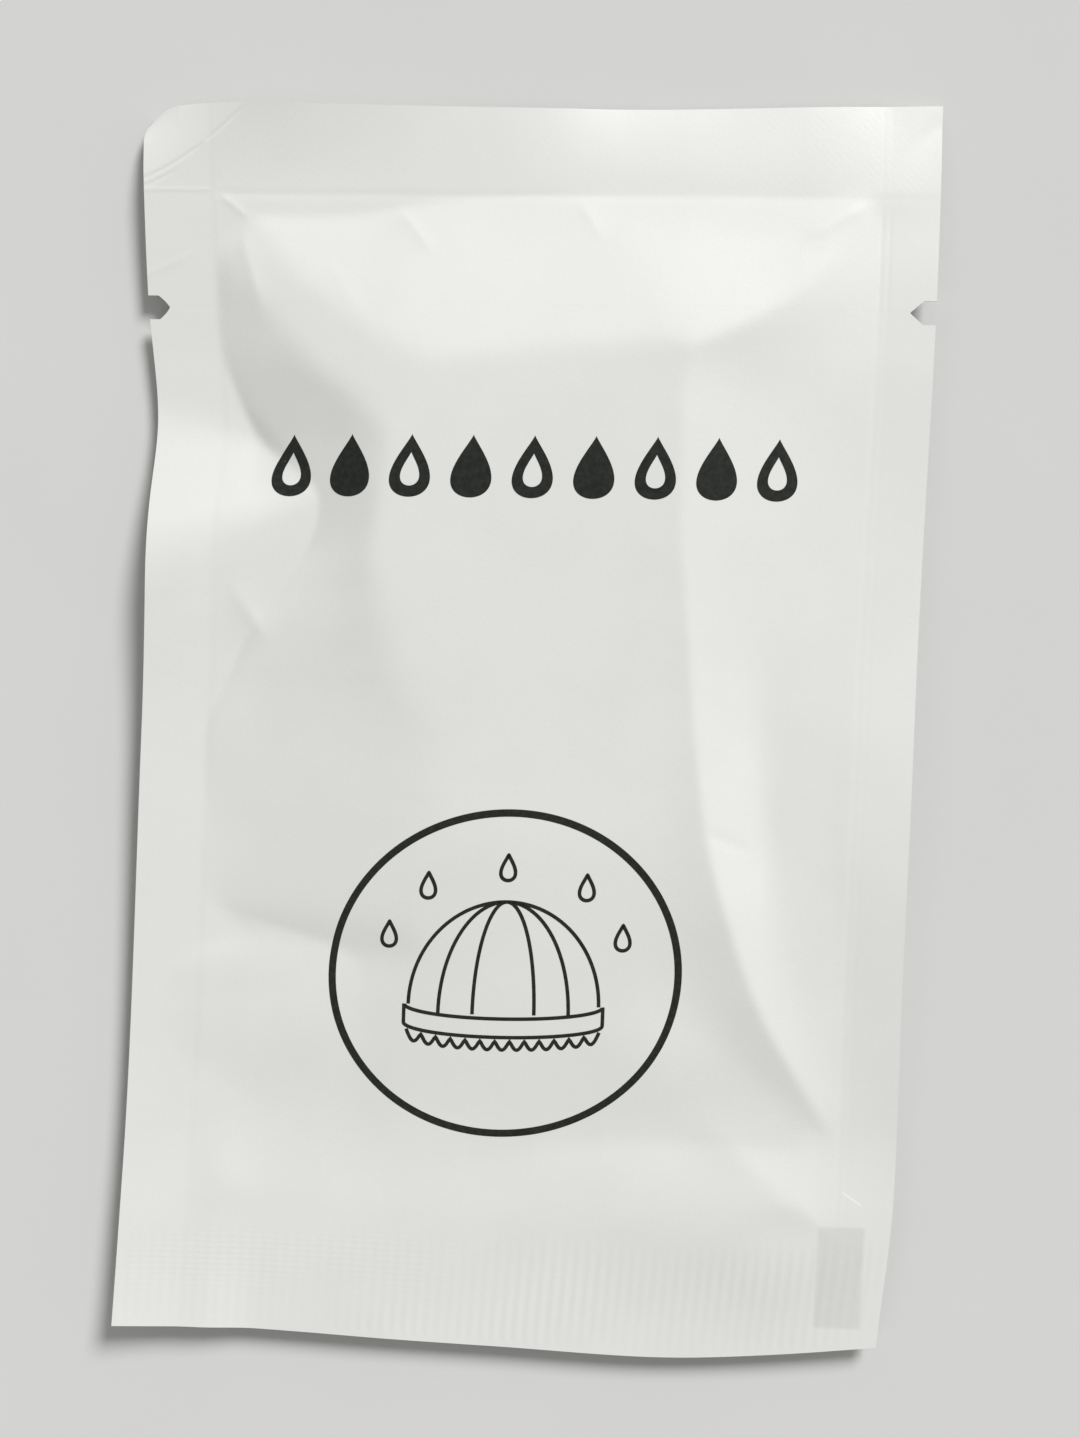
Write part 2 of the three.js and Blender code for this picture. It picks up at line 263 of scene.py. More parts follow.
# The tear: how far its fibres wander, from what distance to the sides, and how the strip's edge lies
# under the body's before it tears.
FIBRE_WANDER = 0.09
FIBRE_START = (2.5, 6)
TUCK_LENGTH = 0.04
TUCK_DEPTH = 0.006
TUCK_WIDTH = 0.25

# The print: how deep the ink's borders are sunk, in heights of the ink; the row of drops; the ring;
# the drawing of a cap in the ring, from the middle of its hem; and the drops round that cap.
INK_SINK = 4
DROP_COUNT = 9
ROW_SHIFT = -0.5
DROP_BELLY = 0.12
DROP_POINT = 1.4
HOLLOW_SINK = 0.3
HOLLOW_SHORTER = 2.6
RING_MIDDLE = np.array([-1.15, -27.3])
RING_TURN = math.radians(1.3)
DRAWN_HEM = RING_MIDDLE + np.array([0, -3.6])
DRAWN_HALF = 11.6
DOME_INSET = 0.5
DOME_HEIGHT = 12.2
DRAWN_PLEAT_HALVES = (3.6, 7.6)
DRAWN_PLEAT_SINK = 1.1
DRAWN_HEM_HEIGHT = 2.2
DRAWN_HEM_BOW = 1.6
FRILL_DROP = 2.6
FRILL_SHARE = 0.97
SCALLOPS = 13
SCALLOP_HEIGHT = 1.1
SCALLOP_STEPS = 12
SMALL_DROP = (1.7, 3.0)
SMALL_DROP_PLACES = ((-13.6, 4.6), (-9.2, 10.4), (13.6, 4.6), (9.2, 10.4), (0, 12.6))

# The mark on the back, as it lies in the frame's axes, and a short scratch above it on the front:
# its start, length, half width and turn.
MARK_ACROSS = (36.9, 42.3)
MARK_ALONG = (-67.8, -55.6)
MARK_CELLS = (24, 54)
MARK_BLUR = 0.3
SCRATCH_START = (39.6, -51.5)
SCRATCH_LENGTH = 2.6
SCRATCH_HALF = 0.09
SCRATCH_BLUR = 0.06
SCRATCH_TURN = math.radians(-34)

# The folded cap: its leaves and their cells, the pack's place across the sachet, the room it leaves
# and the depths and reaches of the gathers that run from its hem.
LEAVES = 10
COVER_CELLS = 150
NEXT_CELLS = 30
INNER_CELLS = 10
FILM_ROWS = 155
FILM_FOLD_POINTS = 5
FILM_WALL = 0.04
FILM_INSET = 1
PACK_MIDDLE = (FILM_LOW[0] + FILM_HIGH[0]) / 2 + 0.6
PACK_HALF = (FILM_HIGH[0] - FILM_LOW[0]) / 2 - 2.4
PACK_CLEARANCE = 0.3
PACK_EXCESS = 0.5
LEAF_BASE = 0.9 / LEAVES
FINE_PLEAT = 2.3
FINE_GATHER = 0.42
FINE_REACH = 15
BROAD_PLEAT = 5.3
BROAD_GATHER = 0.62
BROAD_REACH = 48
PLEAT_TIP = 0.985
FILM_SLACK = 0.25
FILM_WAVES = 0.1
FILM_CREASES = 44
FILM_CREASE_LENGTHS = (10, 36)
FILM_CREASE_HEIGHT = 0.22
FILM_CREASE_WIDTHS = (0.6, 1.5)
FOLD_WANDER = 0.5
FOLD_STAGGER = 0.6

# The hem and its elastic: how far the hem laps over the film, where it is free and how far it
# ruffles; the elastic's place, how deep it lies in the gathers and half its width and thickness.
HEM_HALF = PACK_HALF - 0.2
HEM_LAP = 0.4
HEM_FREE = 1.6
HEM_RUFFLE = 0.5
HEM_CELLS = 100
HEM_COVER_CELLS = 200
HEM_ROWS = 15
ELASTIC_AT = 1.2
ELASTIC_DEPTH = 0.6
ELASTIC_HALF_WIDTH = 0.9
ELASTIC_HALF_THICKNESS = 0.11
ELASTIC_CELLS = 60
ELASTIC_FOLD_POINTS = 7
ELASTIC_SIDES = 12

# The stage: half the floor's width in metres, and the width of the camera's sensor in millimetres.
FLOOR_REACH = 4.0
SENSOR = 36


def length(name, words, default):
    """A length property in metres, given in millimetres."""
    return bpy.props.FloatProperty(name=name, description=words, default=default * MM, unit="LENGTH",
                                   precision=5)


def number(name, words, default):
    """A plain number property."""
    return bpy.props.FloatProperty(name=name, description=words, default=default)


def colour(name, words, default):
    """A linear colour property."""
    return bpy.props.FloatVectorProperty(name=name, description=words, default=default, size=3,
                                         subtype="COLOR", min=0, max=1)


def triple(name, words, default, subtype):
    """A place, direction or turn as three numbers."""
    return bpy.props.FloatVectorProperty(name=name, description=words, default=default, size=3,
                                         subtype=subtype)


class SachetSizes(bpy.types.PropertyGroup):
    """Sizes of the paper webs and of the relief that the folded cap presses into them."""

    web: length("Web", "Thickness of one paper web", 0.12)
    bond: length("Bond", "Half the thickness of the layer that bonds the webs", 0.03)
    crown_tilt: number("Crown tilt", "Fall of the crown per unit to the right", 0.012)
    crest_slope: number("Crest slope", "Rise per unit to the fold on the right, from its left", 0.09)
    ridge: length("Ridge", "Softness of the ridges where two slopes meet", 0.11)
    skew: number("Skew", "How far the cut is out of square, per unit across", 0.0206)
    left_notch: length("Left notch", "How far the left tear notch reaches in", 2.45)
    right_notch: length("Right notch", "How far the right tear notch reaches in", 3.0)
    notch_straight: number("Notch straight", "Share of a notch that is parallel", 0.48)
    notch_height: length("Notch height", "Width of the notch's mouth", 2.7)
    left_blunt: number("Left blunt", "Power of the left notch's taper, whose tip is blunt below 1", 0.74)
    corner: length("Corner", "Radius of the curled corner", 4.0)
    curl: number("Curl", "Fall per unit of the curled corner, at its crease", 0.12)
    curl_growth: number("Curl growth", "Growth of that fall per millimetre beyond the crease", 0.035)
    crease_depth: length("Crease depth", "Depth of the fine creases in the corner", 0.085)
    rib_pitch: length("Rib pitch", "Distance between the ribs of the lower crimp", 1.31)
    rib_height: length("Rib height", "Half the height of a rib", 0.025)
    knurl_pitch: length("Knurl pitch", "Distance between the cross lines of the crimp", 0.7)
    stipple_pitch: length("Stipple pitch", "Distance between the dots of the upper seal", 0.85)
    stipple_height: length("Stipple height", "Half the height of a dot", 0.005)
    seal_step: length("Seal step", "How far the jaws press the paper in at a seal", 0.05)


class PrintSizes(bpy.types.PropertyGroup):
    """Sizes of the black print on the front."""

    proud: length("Proud", "How far the ink stands above the paper", 0.025)
    row_middle: length("Row height", "Middle of the row of drops, along the sachet", 30.7)
    row_length: length("Row length", "Length of the row of drops", 61)
    drop_height: length("Drop height", "Height of one drop", 7.0)
    drop_width: length("Drop width", "Width of one drop", 4.7)
    drop_line: length("Drop line", "Line width of a hollow drop", 1.25)
    ring_across: length("Ring across", "Half the ring's width", 20.2)
    ring_along: length("Ring along", "Half the ring's height", 18.9)
    ring_line: length("Ring line", "Line width of the ring", 0.85)
    fine_line: length("Fine line", "Line width of the drawing in the ring", 0.42)


class SachetColours(bpy.types.PropertyGroup):
    """Colours of the materials."""

    paper: colour("Paper", "Coated white paper", (0.79, 0.79, 0.765))
    ink: colour("Ink", "Black printing ink", (0.012, 0.014, 0.012))
    sealant: colour("Sealant", "Milky heat-seal layer", (0.74, 0.74, 0.72))
    film: colour("Film", "Milky film of the cap", (0.74, 0.755, 0.765))
    elastic: colour("Elastic", "Covered elastic", (0.82, 0.82, 0.80))
    floor: colour("Floor", "Pale floor", (0.70, 0.70, 0.69))


class StageSettings(bpy.types.PropertyGroup):
    """Lamps and camera."""

    key_towards: triple("Key direction", "Where the soft lamp is", (0.63, 1.01, 0.95), "DIRECTION")
    key_strength: number("Key strength", "Strength of the soft lamp at the upper right", 3.0)
    fill_towards: triple("Fill direction", "Where the weak lamp is", (-0.9, -0.6, 1.1), "DIRECTION")
    fill_strength: number("Fill strength", "Strength of the weak lamp at the lower left", 0.12)
    spread: number("Spread", "Angle that each lamp fills, in radians", 0.37)
    sky: number("Sky", "Strength of the even light from all round", 0.31)
    backdrop: number("Backdrop", "Tone that the camera sees past the floor", 0.64)
    focal_pixels: number("Focal length", "The view's focal length in pixels of its height", 2000)
    frame_height: number("Frame height", "Height of the view in pixels", 1438)
    camera_place: triple("Camera place", "Where the camera is, in metres",
                         (0.00907, 0.01892, 0.23133), "TRANSLATION")
    camera_turn: triple("Camera turn", "The camera's turn from straight down",
                        (math.radians(-4.129), math.radians(1.745), math.radians(1.926)), "EULER")


def sizes():
    """The sachet's size settings."""
    return bpy.context.scene.sachet_sizes


def print_sizes():
    """The print's size settings."""
    return bpy.context.scene.print_sizes


def colours():
    """The colour settings."""
    return bpy.context.scene.sachet_colours


def mm(value):
    """A length property's value in millimetres."""
    return value / MM


# Curves and fields


def through(knots, place):
    """Cubic Hermite curve through a table of knots, with the slope at each from its neighbours."""
    at = np.array(list(knots), float)
    values = np.array(list(knots.values()), float)
    slopes = np.gradient(values, at)
    step = np.clip(np.searchsorted(at, place) - 1, 0, len(at) - 2)
    width = at[step + 1] - at[step]
    s = np.clip((place - at[step]) / width, 0, 1)
    ends = (1 + 2 * s) * (1 - s) ** 2 * values[step] + s * s * (3 - 2 * s) * values[step + 1]
    turns = s * (1 - s) ** 2 * slopes[step] - s * s * (1 - s) * slopes[step + 1]
    return ends + width * turns


def smooth(value, low, high):
    """Smooth step: 0 at low, 1 at high, s * s * (3 - 2 s) between; low may be the larger."""
    s = np.clip((value - low) / (high - low), 0, 1)
    return s * s * (3 - 2 * s)


def mixed(first, last, share):
    """The first value where a share is 0, the last where it is 1, and even steps between."""
    return first + (last - first) * share


def wave(place, pitch):
    """Cosine wave of height 1 with a crest at every pitch."""
    return np.cos(2 * math.pi * place / pitch)


def bell(place, at, width):
    """Bell curve of height 1 about a place: exp(-(distance / width) squared)."""
    return np.exp(-((place - at) / width) ** 2)


def soft_least(heights, width):
    """Smooth minimum of several fields: -width * log(sum of exp(-field / width))."""
    stack = np.stack(heights)
    least = stack.min(axis=0)
    return least - width * np.log(np.exp((least - stack) / width).sum(axis=0))


def soft_most(first, second, width):
    """Smooth maximum of two fields: width * log(exp(first / width) + exp(second / width))."""
    return width * np.logaddexp(first / width, second / width)


def soft_above(value, width):
    """Smooth maximum of a field and nought."""
    return soft_most(value, 0, width)


def crease(u, v, start, end, width):
    """Pointed ridge of height 1 along a line, exp(-distance / width), that fades at its ends."""
    along = np.array(end, float) - np.array(start, float)
    reach = np.hypot(*along)
    along /= reach
    here = (u - start[0]) * along[0] + (v - start[1]) * along[1]
    away = (u - start[0]) * -along[1] + (v - start[1]) * along[0]
    fade = smooth(here, 0, CREASE_FADE * reach) * smooth(reach - here, 0, CREASE_FADE * reach)
    return np.exp(-np.sqrt(away * away + (CREASE_TIP * width) ** 2) / width) * fade


def creases(u, v, table):
    """Sum of the creases of a table."""
    return sum(height * crease(u, v, start, end, width) for height, start, end, width in table)


def hills(u, v, table):
    """Sum of the hills of a table, each a bell across times a bell along."""
    return sum(height * bell(u, middle[0], reach[0]) * bell(v, middle[1], reach[1])
               for height, middle, reach in table)


def ripples(u, v, waves, shortest, longest, seed):
    """Sum of sine waves of seeded direction, phase and wavelength, scaled to about -1 to 1."""
    draw = np.random.default_rng(seed)
    total = np.zeros(np.broadcast(u, v).shape)
    for _ in range(waves):
        turn = draw.uniform(0, 2 * math.pi)
        pace = 2 * math.pi / draw.uniform(shortest, longest)
        phase = draw.uniform(0, 2 * math.pi)
        total = total + np.sin(pace * (u * math.cos(turn) + v * math.sin(turn)) + phase)
    return total / math.sqrt(waves)


# The bonded borders


def planform(u, v):
    """Where a point of the flat cut lies: skewed, drawn in at its edges, one corner rounded.

    The corner's square is turned into a quarter disc: with p and q from 0 at the square's
    inner corner to 1 at its edges, they become p sqrt(1 - q q / 2) and q sqrt(1 - p p / 2).
    """
    size = sizes()
    radius = mm(size.corner)
    p = np.clip((LEFT + radius - u) / radius, 0, None)
    q = np.clip((v - TOP + radius) / radius, 0, None)
    inside = (p > 0) & (q > 0)
    across = np.where(inside, LEFT + radius - radius * p * np.sqrt(np.clip(1 - q * q / 2, 0, 1)), u)
    along = np.where(inside, TOP - radius + radius * q * np.sqrt(np.clip(1 - p * p / 2, 0, 1)), v)
    share = (across - LEFT) / (RIGHT - LEFT)
    pull = mixed(through(LEFT_PULL, along), through(RIGHT_PULL, along), share)
    bow = through(BOTTOM_BOW, across) * smooth(along, POCKET_BOTTOM + BOW_REACH, BOTTOM)
    bow = bow + through(TOP_BOW, across) * smooth(along, POCKET_TOP, TOP)
    return across + pull, along + bow + size.skew * across


def left_wave(u, v):
    """Wave of the left border along the sachet.

    Its crest slants up and its valley slants down towards the bulge, where they run out: the
    wave's own place along the border is stretched between them, and its depth fades.
    """
    inwards = np.clip(u - LEFT, 0, SLANT_REACH)
    crest = LEFT_CREST + CREST_SLANT * inwards
    valley = LEFT_VALLEY + VALLEY_SLANT * inwards
    below = WAVE_START + (v - WAVE_START) * (LEFT_CREST - WAVE_START) / (crest - WAVE_START)
    within = LEFT_CREST + (v - crest) * (LEFT_VALLEY - LEFT_CREST) / (valley - crest)
    above = LEFT_VALLEY + (v - valley) * (POCKET_TOP - LEFT_VALLEY) / (POCKET_TOP - valley)
    stretches = [v < WAVE_START, v < crest, v < valley, v < POCKET_TOP]
    lift = through(LEFT_LIFT, np.select(stretches, [v, below, within, above], v))
    top = LEFT_LIFT[LEFT_CREST]
    depth = 1 - SHALLOW_SHARE * smooth(u, *SHALLOW_ACROSS) * smooth(v, *SHALLOW_ALONG)
    return np.where(v > crest, top - (top - lift) * depth, lift)


def border_lift(u, v):
    """Lift of the wavy borders: each side's wave, kept level as far as the bulge's foot, then fading.

    The right border is level only below the upper seal, where its fall goes on to the edge. The lower
    border rises to a hump along the seal's inner line and falls again to the edge.
    """
    foot = through(LEFT_FOOT, v)
    foot = np.where(v < 0, np.minimum(foot, LEFT_FADE_LINE), foot)
    left = smooth(u, foot + LEFT_FADE[0], foot + LEFT_FADE[1]) * left_wave(u, v)
    left = left + through(LEFT_TILT, v) * soft_above(POCKET_LEFT - u, TILT_BEND)
    spread = smooth(v, POCKET_TOP + RIGHT_SPREAD[0], POCKET_TOP + RIGHT_SPREAD[1])
    level = mixed(POCKET_RIGHT, RIGHT, spread)
    right = smooth(u, POCKET_RIGHT - RIGHT_FADE, level) * through(RIGHT_LIFT, v)
    right = right + through(RIGHT_TILT, v) * soft_above(u - POCKET_RIGHT, TILT_BEND)
    head = np.clip((v - POCKET_TOP) / (TOP - POCKET_TOP), 0, 1) ** HEAD_CURVE * through(TOP_LIFT, u)
    hump = bell(v, POCKET_BOTTOM + through(HUMP_SHIFT, u), HUMP_WIDTH) * through(BOTTOM_LIFT, u)
    return left + right + head + hump


def past_corner(u, v):
    """Distance past the bowed crease that cuts the curled corner off, less than nought before it."""
    start, slope, bow = CORNER_CREASE
    inwards = u - LEFT
    line = start + slope * inwards + bow * inwards * inwards
    return (v - line) * math.cos(math.atan(CORNER_SLOPE))


def seal_height(u, v):
    """Height of the bonded mid-plane: level, with wavy borders and a curled corner.

    Past its crease the corner falls by curl * d + growth * d * d at a distance d.
    """
    size = sizes()
    past = soft_above(past_corner(u, v), CURL_BEND)
    return BOND_MIDDLE + border_lift(u, v) - past * (size.curl + size.curl_growth * past)


def bond_upper(u, v):
    """Upper face of the bonded layer."""
    return seal_height(u, v) + mm(sizes().bond)


def bond_lower(u, v):
    """Lower face of the bonded layer."""
    return seal_height(u, v) - mm(sizes().bond)


# The pocket


def left_flank(u, v):
    """Plane that rises from the bulge's left foot, and falls from it to the left border."""
    from_foot = u - through(LEFT_FOOT, v)
    rise = through(LEFT_SLOPE, v) * soft_above(from_foot, LEFT_BEND)
    fall = through(APRON_SLOPE, v) * soft_above(-from_foot, LEFT_BEND)
    return through(LEFT_BASE, v) + rise - fall


def shoulder(u, v):
    """Tilted plane between the left flank and the slope from the top seal."""
    across, along = SHOULDER_SLOPES
    return SHOULDER_HEIGHT + across * (u - SHOULDER_AT[0]) + along * (v - SHOULDER_AT[1])


def bulge(u, v):
    """Height of the printed face over the level seals, without the paper's own unevenness.

    It is the smooth least of the slopes up from the borders and the crown over the folded cap.
    A fold crosses its right side: a tent that stands a little proud of the crown on the left,
    falls as a facet on the right, and meets the gentle slope that leads to the right seal.
    """
    size = sizes()
    ridge = mm(size.ridge)
    from_bottom = v - POCKET_BOTTOM
    foot = FOOT_SLOPES[0] * from_bottom
    foot = foot + FOOT_SLOPES[1] * soft_above(from_bottom - FOOT_BEND_AT, FOOT_BEND)
    crown = through(CROWN, v) - size.crown_tilt * (u - CROWN_MIDDLE)
    top = through(TOP_SLOPE, u) * (through(TOP_FOOT, u) - v)
    right = through(RIGHT_SLOPE, v) * (POCKET_RIGHT - u) + through(RIGHT_LIFT, v)
    past = u - through(RIDGE, v)
    height = through(RIDGE_HEIGHT, v)
    facet = height - through(FACET_SLOPE, v) * past
    middle = soft_most(soft_least([crown, foot], ridge), height + size.crest_slope * past, ridge)
    beyond = soft_most(facet, right, 2 * ridge)
    roof = soft_least([soft_least([middle, beyond], FOLD_BEND), top, shoulder(u, v)], ridge)
    return soft_least([roof, left_flank(u, v)], 1.5 * ridge)


def front_rise(u, v):
    """The bulge, with the folds, creases, hills and low ripples of the paper inside the pocket."""
    rise = soft_above(bulge(u, v) - border_lift(u, v), RISE_BEND)
    from_sides = np.minimum(u - POCKET_LEFT, POCKET_RIGHT - u)
    from_ends = np.minimum(POCKET_TOP - v, v - POCKET_BOTTOM)
    inside = smooth(np.minimum(from_sides, from_ends), 0, POCKET_MARGIN)
    folds = creases(u, v, POCKET_FOLDS) * smooth(rise, 0, FOLD_RUN_OUT)
    waves = WAVE_HEIGHT * ripples(u, v, waves=9, shortest=14, longest=42, seed=SEED)
    buckles = BUCKLE_DEPTH * np.abs(ripples(u, v, waves=7, shortest=9, longest=22, seed=SEED + 1))
    uneven = creases(u, v, POCKET_CREASES) + hills(u, v, POCKET_HILLS) + waves - buckles
    return rise + folds + inside * uneven


def back_rise(u, v):
    """Depth of the back's pocket below its seals: four slopes down to the flat under the cap."""
    size = sizes()
    flat = BOND_MIDDLE - mm(size.bond) - mm(size.web)
    slopes = [flat * (u - POCKET_LEFT) / (FILM_LOW[0] - POCKET_LEFT),
              flat * (POCKET_RIGHT - u) / (POCKET_RIGHT - FILM_HIGH[0]),
              flat * (POCKET_TOP - v) / (POCKET_TOP - HEM_END),
              flat * (v - POCKET_BOTTOM) / (FILM_LOW[1] - POCKET_BOTTOM),
              np.full(np.broadcast(u, v).shape, flat)]
    return np.minimum(soft_above(soft_least(slopes, BACK_BEND), BACK_EDGE), flat)


# What the sealing jaws press in


def uneven_share(wear, sway):
    """Share of a pattern that is left where it is worn, from a sway of about -1 to 1."""
    mean, depth, least, most = wear
    return np.clip(mean + depth * sway, least, most)


def bite(past_seal, short_of_edge, start):
    """Share of a jaw's pattern: it starts at the seal's inner line and ends just short of the edge."""
    return smooth(past_seal, *start) * smooth(short_of_edge, *EDGE_MARGIN)


def pressed_lines(past, *lines):
    """Sum of straight lines, each at its own distance past a place."""
    return sum(share * bell(past, away, width) for away, share, width in lines)


def crimp(u, v):
    """Ribs of the lower crimp, lower to the left, and cross lines that fade to the right, both worn."""
    size = sizes()
    worn = uneven_share(RIB_WEAR, ripples(u, v, waves=6, shortest=6, longest=25, seed=SEED + 2))
    ribs = wave(u, mm(size.rib_pitch))
    cross = (CROSS_BETWEEN_RIBS + CROSS_ON_RIBS * ribs) * wave(v, mm(size.knurl_pitch))
    cross = cross * smooth(v, BOTTOM + CROSS_MARGINS[0], POCKET_BOTTOM - CROSS_MARGINS[1])
    cross = cross * smooth(u, *CROSS_FADE)
    ribs = ribs * mixed(RIB_LEAST, 1, smooth(u, *RIB_FADE))
    jaw = bite(POCKET_BOTTOM - v, v - BOTTOM, RIB_START)
    return mm(size.rib_height) * jaw * worn * (ribs + cross)


def stipple(u, v):
    """Patchy dots of the upper seal, lower to the left."""
    size = sizes()
    pitch = mm(size.stipple_pitch)
    patchy = uneven_share(DOT_WEAR, ripples(u, v, waves=8, shortest=2.2, longest=7, seed=SEED + 8))
    dots = wave(u, pitch) * wave(v, pitch) * mixed(DOT_LEAST, 1, smooth(u, *DOT_FADE))
    return mm(size.stipple_height) * bite(v - POCKET_TOP, TOP - v, DOT_START) * dots * patchy


def pressed(u, v):
    """Share of the seal step by which the jaws press each point in: the most of five marks.

    They are the upper left corner, the line along the upper seal, the left border, the lower
    seal and the lines along the right seal.
    """
    on_left = smooth(u, POCKET_LEFT + 1, POCKET_LEFT - 1)
    corner = CORNER_PRESS * on_left * smooth(v, POCKET_TOP, POCKET_TOP + 0.35)
    top_line = (1 - on_left) * pressed_lines(v - POCKET_TOP, TOP_LINE)
    top_line = top_line * mixed(*TOP_LINE_PRESS, smooth(u, *TOP_LINE_FADE))
    left = LEFT_PRESS * smooth(u, POCKET_LEFT + 0.5, POCKET_LEFT - 0.5)
    bottom = BOTTOM_PRESS * smooth(POCKET_BOTTOM - v, -BOTTOM_PRESS_FADE, BOTTOM_PRESS_FADE)
    right = pressed_lines(u - POCKET_RIGHT, *RIGHT_LINES)
    right = right * mixed(*RIGHT_LINE_PRESS, smooth(v, POCKET_TOP, POCKET_TOP - 3))
    return np.maximum.reduce([corner, top_line, left, bottom, right])


def corner_folds(u, v):
    """Fine folds about the curled corner, in shares of the crease depth: raised, less pressed in."""
    past = past_corner(u, v)
    first, second = [pressed_lines(past, fold[:3]) * smooth(u, *fold[3]) for fold in CORNER_FOLDS]
    first = first * (1 - CORNER_GAP_SHARE * bell(u, *CORNER_GAP))
    line = pressed_lines(v - POCKET_TOP, CORNER_LINE) * smooth(u, POCKET_LEFT, POCKET_LEFT - 1)
    return creases(u, v, BORDER_CREASES) + line - first - second


def emboss(u, v):
    """Everything fine that is pressed into the paper: crimp, dots, seal marks and corner folds."""
    size = sizes()
    fine = mm(size.crease_depth) * corner_folds(u, v) - mm(size.seal_step) * pressed(u, v)
    return crimp(u, v) + stipple(u, v) + fine


# The webs' faces


def front_inner(u, v):
    """Inner face of the front web."""
    return bond_upper(u, v) + front_rise(u, v)


def front_outer(u, v):
    """Printed face: the inner face, the web's thickness and what the jaws press in."""
    return front_inner(u, v) + mm(sizes().web) + mm(sizes().seal_step) + emboss(u, v)


def back_inner(u, v):
    """Inner face of the back web."""
    return bond_lower(u, v) - back_rise(u, v)


def back_outer(u, v):
    """Outer face of the back web, which never reaches below the surface it lies on."""
    raised = BACK_EMBOSS * np.maximum(emboss(u, v), -mm(sizes().seal_step))
    return np.maximum(back_inner(u, v) - mm(sizes().web) - raised, 0)


def torn_line(u):
    """The line along which the strip tears: straight, with the small wander of paper fibres."""
    fibres = ripples(u, np.zeros_like(u), waves=8, shortest=1.3, longest=7, seed=SEED + 3)
    return TEAR_LINE + FIBRE_WANDER * fibres * smooth(np.minimum(u - LEFT, RIGHT - u), *FIBRE_START)


def tuck(u, v):
    """How far the strip's torn edge lies below the body's, so that no gap shows before it is torn."""
    return TUCK_DEPTH * smooth(v, torn_line(u) + TUCK_WIDTH, torn_line(u))


def strip_front_outer(u, v):
    """Printed face of the strip."""
    return front_outer(u, v) - tuck(u, v)


def strip_back_outer(u, v):
    """Outer face of the strip's back web."""
    return back_outer(u, v) + tuck(u, v)


# Grids and meshes


def notch(u):
    """Half the notch's height at u: its parallel part, then down to a tip, blunt on the left."""
    size = sizes()
    taper = 1 - size.notch_straight
    left = np.clip((1 - (u - LEFT) / mm(size.left_notch)) / taper, 0, 1) ** size.left_blunt
    right = np.clip((1 - (RIGHT - u) / mm(size.right_notch)) / taper, 0, 1)
    return mm(size.notch_height) / 2 * np.maximum(left, right)


def spaced(stops, cells):
    """Numbers from the first stop to the last, with so many even cells between each two stops."""
    runs = [np.linspace(a, b, n, endpoint=False) for a, b, n in zip(stops, stops[1:], cells)]
    return np.concatenate([*runs, [stops[-1]]])


def columns(middle_cells):
    """Places across the sachet, with lines at the notches' corners and tips."""
    size = sizes()
    left = mm(size.left_notch)
    right = mm(size.right_notch)
    stops = (LEFT, LEFT + size.notch_straight * left, LEFT + left,
             RIGHT - right, RIGHT - size.notch_straight * right, RIGHT)
    return spaced(stops, (*NOTCH_CELLS, middle_cells, *NOTCH_CELLS[::-1]))


def body_grid(middle_cells, seal_rows, pocket_rows):
    """Grid from the foot up to the torn line; the top rows bend to meet the notches and the tear."""
    rows = spaced((BOTTOM, POCKET_BOTTOM, TEAR_LINE), (seal_rows, pocket_rows))
    u, v = np.meshgrid(columns(middle_cells), rows)
    edge = torn_line(u) - notch(u)
    return u, v + (edge - TEAR_LINE) * smooth(v, TEAR_LINE - TEAR_BEND, TEAR_LINE)


def strip_grid(middle_cells, pocket_rows, seal_rows):
    """Grid from the torn line, a tuck below the body's edge, up to the top edge."""
    rows = spaced((TEAR_LINE, POCKET_TOP, TOP), (pocket_rows, seal_rows))
    u, v = np.meshgrid(columns(middle_cells), rows)
    edge = torn_line(u) + notch(u) - TUCK_LENGTH
    return u, v + (edge - TEAR_LINE) * smooth(v, TEAR_LINE + TEAR_BEND, TEAR_LINE)


def on_sheet(u, v, height):
    """Points of a sheet in metres: the planform and a height for each grid point."""
    x, y = planform(u, v)
    return np.stack([x, y, height], axis=-1) * MM


def grid_quads(rows, cols):
    """Corner indices of a grid's quads, turned up."""
    index = np.arange(rows * cols).reshape(rows, cols)
    return np.stack([index[:-1, :-1], index[:-1, 1:], index[1:, 1:], index[1:, :-1]], -1).reshape(-1, 4)


def swept_faces(stations, sides, closed):
    """Faces of a section carried past so many stations, which form a ring or end in two caps."""
    index = np.arange(stations * sides).reshape(stations, sides)
    after = np.roll(index, -1, axis=1)
    quads = np.stack([index, after, np.roll(after, -1, axis=0), np.roll(index, -1, axis=0)], -1)
    if closed:
        return quads.reshape(-1, 4).tolist()
    return [*quads[:-1].reshape(-1, 4).tolist(), index[0, ::-1].tolist(), index[-1].tolist()]


def rim(rows, cols, step):
    """Border indices of a grid in order round it, in runs of step cells that share their ends."""
    index = np.arange(rows * cols).reshape(rows, cols)
    sides = (index[0], index[:, -1], index[-1, ::-1], index[::-1, 0])
    runs = [np.lib.stride_tricks.sliding_window_view(side, step + 1)[::step] for side in sides]
    return np.concatenate(runs)


